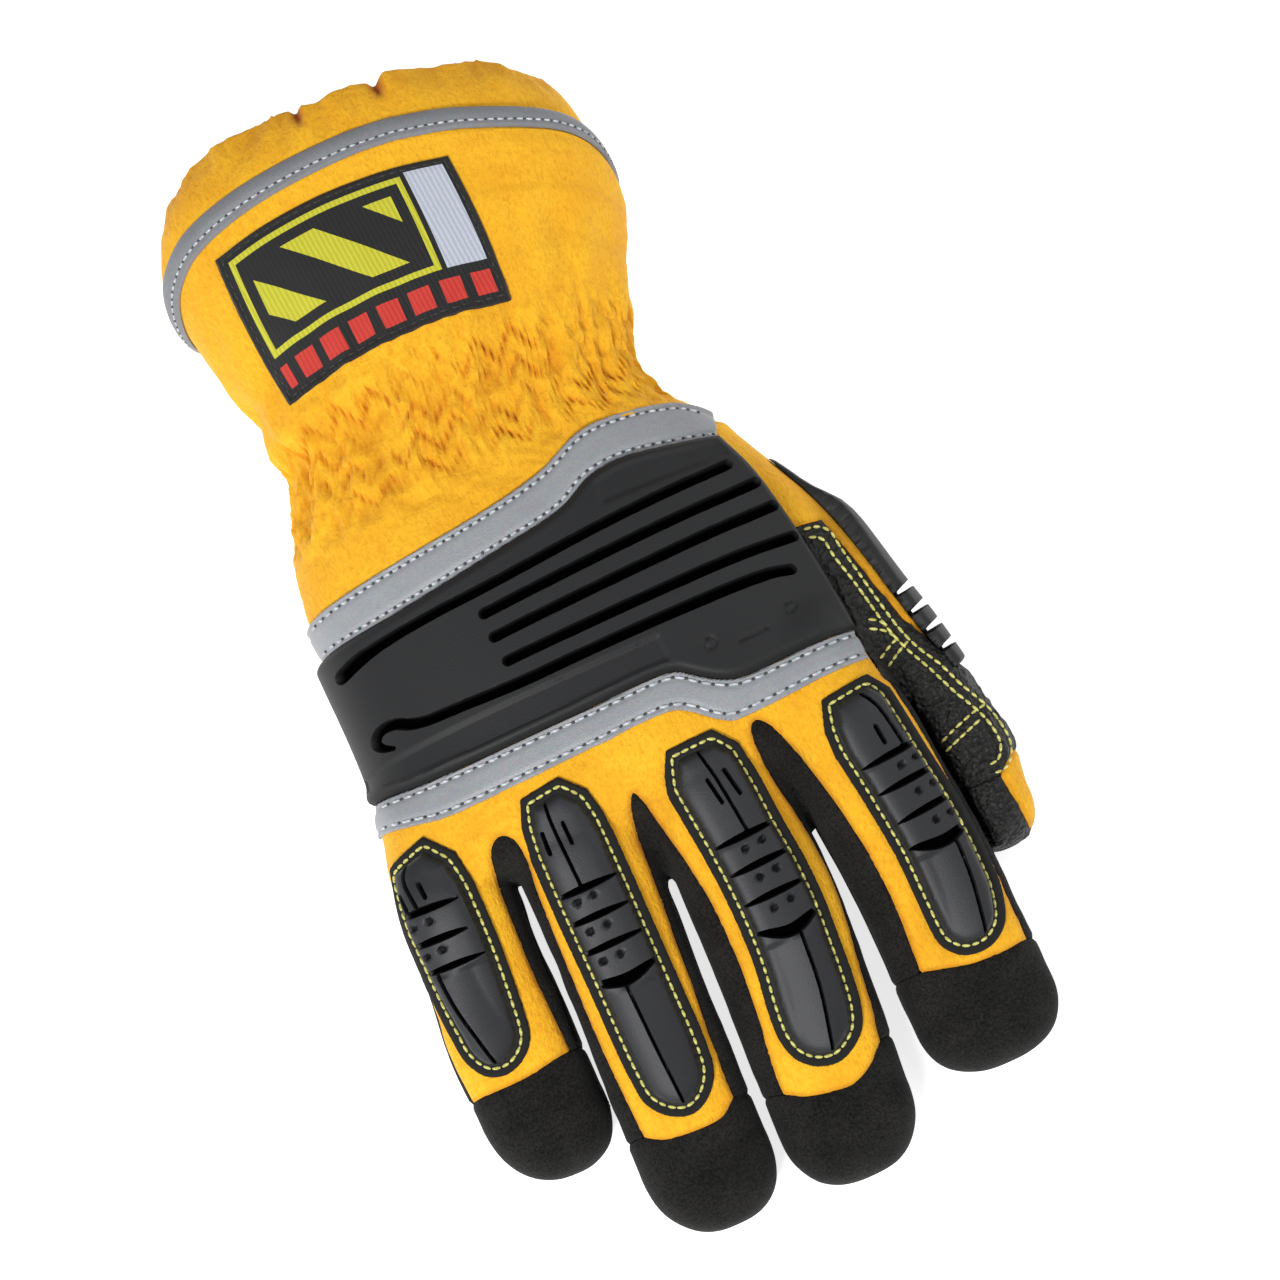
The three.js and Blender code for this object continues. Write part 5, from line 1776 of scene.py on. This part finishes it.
    def loosen(self) -> None:
        """Simulates the cloth's folds, and keeps them by row and column."""
        self.loose_y = np.arange(38.0, self.mouth, 0.8)
        self.loose = np.zeros((len(self.loose_y), self.around, 3))
        y = self.loose_y[:, None] + np.zeros(self.around)
        smooth = self.surface(y)
        x, z = smooth[..., 0], smooth[..., 2]
        drift = noise(smooth, 30, 11)
        turn = np.arange(self.around) / self.around * math.tau + 0.25 * (y - 66) * drift / self.radius
        ring = np.stack([np.cos(turn) * self.radius, np.sin(turn) * self.radius, y], -1)
        gathered = ramp(y, 47, 55) * (1 - ramp(y, 68, 84))
        beside = ramp(y, 40, 54) * (1 - ramp(y, 78, 100))
        waves = 1.35 * noise(ring, (2.3, 2.3, 17), 13) * gathered
        waves = waves + 0.9 * noise(ring, (4.2, 4.2, 26), 15) * beside
        waves = waves + 1.1 * noise(ring, (5.5, 5.5, 60), 19) * ramp(y, 111, self.mouth)
        loose = smooth + self.outward(smooth) * waves[..., None]
        spare = 0.03 * gathered + 0.01
        seam = self.seam()
        patch = ramp(y, 79, 82) * (1 - ramp(y, 106, 108)) * ramp(z, 40, 46)
        patch = patch * (1 - ramp(np.abs(x + 24.0), 27, 30))
        held = np.maximum.reduce([
            1 - ramp(y, np.maximum(seam + 1.0, 42.0), np.maximum(seam + 2.0, 45.0)),
            bump(y - 108.0, 3.8) > 0.5, np.full(y.shape, 0.3),
            0.9 * bump(self.zigzag_at(y), 0.8), 0.95 * (1 - ramp(z, 2.0, 4.0)), 0.8 * patch])
        self.loose = LooseCloth().buckle(smooth, loose, spare, held)
        for _ in range(2):
            around = np.roll(self.loose, 1, axis=1) + np.roll(self.loose, -1, axis=1)
            self.loose = 0.5 * self.loose + 0.25 * around

    def folds(self, p: Array, y: Array) -> tuple[Array, Array, Array]:
        """The cloth's folds.

        Args:
            p: points of the smooth sleeve, by row and column.
            y: where along the sleeve each is.

        Returns:
            How far each point moves with the loose cloth, the height of the finer folds, and how much painted
            shade its creases get, from 0 to 1.
        """
        k = np.clip((y - self.loose_y[0]) / (self.loose_y[1] - self.loose_y[0]), 0, len(self.loose_y) - 1.001)
        low = k.astype(int)
        t = (k - low)[..., None]
        columns = np.arange(self.around)
        moved = self.loose[low, columns] * (1 - t) + self.loose[low + 1, columns] * t
        deep = -(moved * self.outward(p)).sum(-1)
        flow = 0.6 * noise(p, (26, 40, 26), 17) + 0.2 * noise(p, (9, 14, 9), 18)
        calm = 1 - 0.85 * ramp(y, 99, 105)
        gathered = ramp(y, 47, 54) * (1 - ramp(y, 70, 80))
        thread = np.arange(self.around) * math.tau * self.radius / self.around
        slope = math.hypot(self.zigzag_period, 4 * self.zigzag) / self.zigzag_period
        pulled = 0.5 + 0.5 * np.cos(thread * slope * math.tau / self.pucker)
        fine = 1 - 2.6 * np.abs(noise(p + 1.6 * noise(p, 6, 25)[..., None], (2.2, 6.5, 2.2), 23))
        strong = np.clip(0.75 + 0.9 * noise(p, (9, 7, 9), 24), 0.15, 1.3) * gathered
        sewn = bump(self.zigzag_at(y), 0.9) * (0.35 + 0.65 * pulled) * strong
        beside = bump(self.zigzag_at(y), 2.2) * (pulled - 0.5) * strong
        ruffled = ramp(y, 112, self.mouth)
        ruffle = 0.9 * noise(p, (8, 60, 8), 19) + 0.4 * noise(p, (4.5, 20, 4.5), 20)
        pleat = np.zeros(y.shape)
        for x in self.pleats:
            near = bump(p[..., 0] - x, 1.2) * (p[..., 2] > 30) * ramp(y, self.mouth - 11, self.mouth - 5)
            pleat = np.maximum(pleat, near)
        height = flow * calm - 0.8 * sewn - 0.5 * beside + ruffle * ruffled - 2.6 * pleat
        height = height + fine * np.maximum(0.45 * gathered, 0.2 * ruffled)
        # Painted shade, orange, in the folds, along the zigzags, in the pleats and at the ruffled hem, with a
        # little over the whole cuff
        crease = 0.06 + 0.15 * np.maximum(deep, 0) + 0.38 * sewn + pleat + ruffled * (0.2 - 0.12 * fine)
        crease = np.clip(crease - 0.12 * fine * gathered, 0, 1)
        return moved, height, crease

    def draped(self, y: Array) -> tuple[Array, Array, Array]:
        """The sleeve with its folds: points, outward directions and painted crease shade by row and column.
        """
        smooth = self.surface(y)
        moved, height, crease = self.folds(smooth, y)
        points = smooth + moved + self.outward(smooth) * height[..., None]
        points[..., 2] = np.maximum(points[..., 2], 0.3)
        return points, self.outward(points), crease

    def sleeve(self, y: Array, over: Array | float, under: Array | float, rim: bool = False) -> Shell:
        """A closed band of the sleeve.

        Args:
            y: its rows.
            over: height of its outer face above the cloth.
            under: depth of its inner face.
            rim: whether its far edge is rounded over.

        Returns:
            The shell.
        """
        points, out, crease = self.draped(y)
        over, under = (np.broadcast_to(np.asarray(height, float).reshape(-1, 1), y.shape)[..., None]
                       for height in (over, under))
        outer = points + out * over
        # The inner face, hardly seen, has every second row
        kept = np.unique([*range(0, len(y), 2), len(y) - 1])[::-1]
        inner = (points - out * under)[kept]
        grids = [outer]
        if rim:
            middle, half = (outer[-1] + inner[0]) / 2, (outer[-1] - inner[0]) / 2
            onward = unit(outer[-1] - outer[-2]) * np.linalg.norm(half, axis=1, keepdims=True)
            grids.append(np.stack([middle + half * math.cos(a) + onward * math.sin(a)
                                   for a in np.linspace(0, math.pi, 7)[1:-1]]))
        grid = np.concatenate([*grids, inner])
        inner_from = len(grid) - len(inner)
        index = np.arange(grid[..., 0].size).reshape(grid.shape[:2])
        faces = quads_of(np.pad(index, (0, 1), mode="wrap"))[:, [0, 3, 2, 1]]
        creases = np.concatenate([crease, np.repeat(crease[-1:], inner_from - len(outer), 0), crease[kept]])
        inside = np.zeros(index.shape, bool)
        inside[inner_from + (self.turned_in if rim else 0):] = True
        return Shell(grid.reshape(-1, 3), faces, {"crease": creases.reshape(-1)}, None, inside.reshape(-1))

    def build(self) -> None:
        """Makes the cuff, its hem, tape and patch, and their stitches."""
        self.loosen()
        split = (self.tape[0] + self.tape[1]) / 2
        cuff = self.sleeve(self.rows(self.seam(), split - 0.1), 0.0, self.wall)
        place = np.outer(np.arange(self.around) * 0.57, (1, 0, 0))
        wobble = noise(place, 11, 21) + 0.35 * noise(place, 5, 22)
        short = np.interp(self.x_at[-1], *self.SHORT)
        short = 1.5 + (short - 1.5) * ramp(self.z_at[-1], 30, 36)
        end = self.mouth - 1.0 - short + 0.8 * wobble
        hem = self.sleeve(self.rows(split + 0.1, end), 0.0, self.wall, rim=True)
        for name, shell in (("cuff", cuff), ("cuff_hem", hem)):
            self.dresser.make(name, shell, Look.YELLOW, "yellow_fabric", (name,), 0.2, lining=Look.LINING)
        low, high = self.tape
        rows = self.rows(low, high)
        across = np.linspace(0, 1, len(rows))
        edge = np.minimum(across, 1 - across) * (high - low)
        sewn = bump(across * (high - low) - self.tape_sewn, 0.6)
        over = 0.45 + 1.0 * dome(edge, 2.4) - 0.35 * sewn
        tape = self.sleeve(rows, over, -0.2)
        # The cuff's tape takes no painted shade
        tape.values["crease"][:] = 0
        self.dresser.make("cuff_tape", tape, Look.CUFF_TAPE, "reflective_tape", ("cuff_tape",))
        self.sew_tape(low + self.tape_sewn, 1.1)
        self.patch(cuff.tree())

    def sew_tape(self, y: float, above: float) -> None:
        """Sews the cuff's tape all round along one line."""
        points, out, _ = self.draped(np.array([[y - 0.5], [y], [y + 0.5]]) + np.zeros(self.around))
        line = points[1] + out[1] * above
        loop, away = (np.vstack([ring, ring[:1]]) for ring in (line, out[1]))
        long = lengths(loop)
        stitch = Stitch(Look.GREY_THREAD, length=1.6, thick=0.6, lift=0.05)
        at = (np.arange(int(long[-1] / stitch.pitch)) + 0.5) * stitch.pitch
        place, start, end = (follow(loop, at + d) for d in (0, -0.6, 0.6))
        up = np.stack([np.interp(at, long, way) for way in away.T], 1)
        along = unit(end - start)
        self.sewing.sew("cuff_tape_stitches", [(place, along, up)], stitch, "reflective_tape")
        # Dark dots of painted shade at the needle's holes
        self.sewing.prick("cuff_tape_needle_hole_shades", [(place, along, up)], stitch, "reflective_tape")

    def patch(self, tree: BVHTree) -> None:
        """Drapes the woven patch over the cuff and sews its border."""
        top, foot = spline(self.PATCH_TOP, 20), spline(self.PATCH_FOOT, 20)
        wide, tall = self.patch_grid
        u, v = np.meshgrid(np.linspace(0, 1, wide), np.linspace(0, 1, tall))
        pick = lambda line: np.stack([np.interp(u, np.linspace(0, 1, len(line)), way) for way in line.T], -1)
        plan = pick(foot) * (1 - v[..., None]) + pick(top) * v[..., None]
        plan[..., 0] += np.sin(v * np.pi) * (0.9 * (u - 0.5) * 2)
        landed = [self.sewing.land(spot, [tree]) for spot in plan.reshape(-1, 2).tolist()]
        points, out = (np.array([row[i] for row in landed]).reshape(tall, wide, 3) for i in (0, 1))
        mean = lambda grid: (grid[:-2, 1:-1] + grid[2:, 1:-1] + grid[1:-1, :-2] + grid[1:-1, 2:]) / 4
        for _ in range(6):
            points[1:-1, 1:-1, 2] = np.maximum(mean(points)[..., 2], points[1:-1, 1:-1, 2])
            out[1:-1, 1:-1] = mean(out)
        out = unit(out)
        edge = np.minimum.reduce([np.minimum(way, 1 - way) * size
                                  for way, size in zip((u, v), self.patch_size)])
        height = 0.5 + 0.5 * dome(edge, 0.5) - 0.22 * bump(edge - 1.5, 0.5)
        sheets = np.vstack([(points + out * above).reshape(-1, 3) for above in (height[..., None], 0.2)])
        count = wide * tall
        index = np.arange(count).reshape(tall, wide)
        ring = border_of(index)
        after = np.roll(ring, -1)
        walls = np.stack([ring, ring + count, after + count, after], 1)
        uv = np.stack([u, v], -1).reshape(-1, 2)
        quads = quads_of(index)
        shell = Shell(sheets, np.vstack([quads, quads[:, ::-1] + count, walls]), {}, np.vstack([uv, uv]))
        self.dresser.make("cuff_patch", shell, Look.PATCH, "woven_patch", ("cuff_patch",))
        stitch = Stitch(Look.BLACK_THREAD, length=1.9, pitch=2.6, thick=0.45, lift=0.0)
        inset = border_of(plan[2:-2, 2:-2])
        rows = [self.sewing.drape(np.vstack([inset, inset[:1]]), stitch, shell.tree())]
        self.sewing.sew("cuff_patch_stitches", rows, stitch, "woven_patch")


# Seams of stitches on the hand
@dataclass
class ThumbStitching:
    """Double rows of contrasting thread that hold the leather saddle."""

    sewing: Sewing
    dresser: Dresser

    ROWS = [
        [(44.2, 7.4), (47.9, 7.0), (49.9, 5.2), (50.4, 1.6), (52, -6.5), (53.7, -15.2), (55.4, -22),
         (57.4, -27.1), (60.6, -32.6), (63.4, -39.2), (66.4, -44.6), (67.9, -49.6), (68.1, -55.3),
         (65, -59.9), (61.6, -60.2)],
        [(44.5, 5.3), (47.4, 4.2), (48.2, -0.4), (49.9, -6.9), (51.4, -14), (53, -21.1), (54.9, -26.4),
         (58.4, -33.6), (61.2, -40), (64.3, -45.8), (65.7, -50), (65.9, -54.4), (63.8, -57.6), (61.4, -58)],
        [(48.7, -19.1), (52, -20.8), (53.9, -23.2)],
        [(49.2, -16.9), (51.8, -18.4), (53.2, -20.2)],
        [(48.1, -26.5), (52.3, -24.1), (54.3, -23.4)],
        [(49.2, -28.6), (53.2, -26.3), (56, -25)],
        [(53.4, -48.9), (58.6, -47), (63.7, -45.3), (66.7, -44.6)],
        [(53.5, -51.2), (58.6, -49.5), (63.8, -47.6)],
    ]

    def build(self) -> None:
        """Sews the rows."""
        stitch = Stitch(Look.YELLOW_THREAD, length=2.0, pitch=2.2, thick=0.75, lift=0.15)
        names = ("thumb_saddle", "thumb_back", "thumb_tip", "index_side", "back_panel")
        trees = [self.dresser.shells[name].tree() for name in names]
        rows = [self.sewing.drape(spline(points), stitch, *trees) for points in self.ROWS]
        self.sewing.sew("thumb_stitches", rows, stitch, "grip_leather")


# The studio
@dataclass
class Studio:
    """A pale floor, soft light and the camera at the photograph's angle."""

    wardrobe: Wardrobe
    target: tuple[float, float, float] = (0.0044, -0.0033, 0.030)
    tilt: float = math.radians(10)
    roll: float = math.radians(24)
    distance: float = 0.9
    lens: float = 110.36

    def build(self) -> None:
        """Makes the camera, the floor and the lights."""
        back = Vector((0, -math.sin(self.tilt), math.cos(self.tilt)))
        up = Vector((0, math.cos(self.tilt), math.sin(self.tilt)))
        side = Vector((1, 0, 0))
        right = math.cos(self.roll) * side - math.sin(self.roll) * up
        top = math.sin(self.roll) * side + math.cos(self.roll) * up
        camera = bpy.data.objects.new("camera", bpy.data.cameras.new("camera"))
        camera.data.lens = self.lens
        camera.data.sensor_width = 36.0
        camera.data.clip_start = 0.01
        turn = Matrix((right, top, back)).transposed().to_4x4()
        camera.matrix_world = Matrix.Translation(Vector(self.target) + back * self.distance) @ turn
        bpy.context.collection.objects.link(camera)
        bpy.context.scene.camera = camera
        self.floor()
        self.light("key light", (-0.45, -0.5, 0.9), 0.3, 8.6)
        self.light("fill light", (0.7, 0.0, 0.8), 0.9, 3.6)
        self.light("side light", (-1.0, -0.3, 0.4), 0.4, 1.4)
        world = bpy.context.scene.world or bpy.data.worlds.new("studio")
        bpy.context.scene.world = world
        world.use_nodes = True
        put(world.node_tree, world.node_tree.nodes["Background"], {"Color": (1, 1, 1, 1), "Strength": 0.27})
        bpy.context.scene.view_settings.view_transform = "Standard"

    def floor(self) -> None:
        """Makes the floor, a wide sheet with a slight sweep at its rim."""
        size, steps = 9.0, 36
        line = np.linspace(-size, size, steps + 1)
        x, y = np.meshgrid(line, line)
        z = 0.6 * np.maximum(np.hypot(x, y) / size - 0.6, 0) ** 2
        faces = quads_of(np.arange(x.size).reshape(x.shape))
        mesh = bpy.data.meshes.new("floor")
        mesh.from_pydata(np.stack([x, y, z], -1).reshape(-1, 3).tolist(), [], faces.tolist())
        mesh.materials.append(self.wardrobe[Look.FLOOR])
        mesh.shade_smooth()
        made = bpy.data.objects.new("floor", mesh)
        bpy.context.collection.objects.link(made)

    def light(self, name: str, place: tuple[float, float, float], size: float, power: float) -> None:
        """Hangs one soft square light that faces the glove."""
        lamp = bpy.data.lights.new(name, "AREA")
        lamp.size = size
        lamp.energy = power
        made = bpy.data.objects.new(name, lamp)
        made.location = place
        made.rotation_euler = (Vector(place) - Vector(self.target)).to_track_quat("Z", "Y").to_euler()
        bpy.context.collection.objects.link(made)


def main() -> None:
    """Makes the glove and its studio."""
    logging.basicConfig(level=logging.INFO, format="%(message)s")
    wardrobe = Wardrobe()
    Studio(wardrobe).build()
    form = GloveForm()
    pattern = Pattern(form)
    skin = surface_net(form, (-82, -135, -2), (74, 72, 50), CELL)
    LOG.info("skin: %d faces", len(skin.faces))
    dresser = Dresser(wardrobe)
    sewing = Sewing(dresser)
    thumb_guard = ThumbGuard()
    SewnHand(form, skin, pattern, dresser, thumb_guard.press).build()
    near_stitch = Stitch(Look.GREY_THREAD, length=1.65, pitch=2.35, thick=0.85, lift=0.05)
    wide_stitch = Stitch(Look.GREY_THREAD, length=2.35, pitch=3.1, thick=0.8, lift=0.05)
    bands = [
        TapeBand("wrist_tape", pattern, pattern.WRIST_TAPE, pattern.GUARD_TOP, pattern.WRIST_SIDE,
                 (0.0, 0.15), (-69, 34.5), near_stitch),
        TapeBand("knuckle_tape", pattern, pattern.GUARD_FOOT, pattern.KNUCKLE_TAPE, pattern.GUARD_SIDE,
                 (0.15, 0.0), (-73, 44.2), wide_stitch)]
    for band in bands:
        band.build(skin, dresser, sewing)
    KnuckleGuard(pattern).build(skin, dresser)
    for guard in FINGER_GUARDS:
        guard.build(skin, dresser, sewing)
    thumb_guard.build(skin, dresser)
    Gauntlet(dresser, sewing).build()
    ThumbStitching(sewing, dresser).build()


if __name__ == "__main__":
    main()
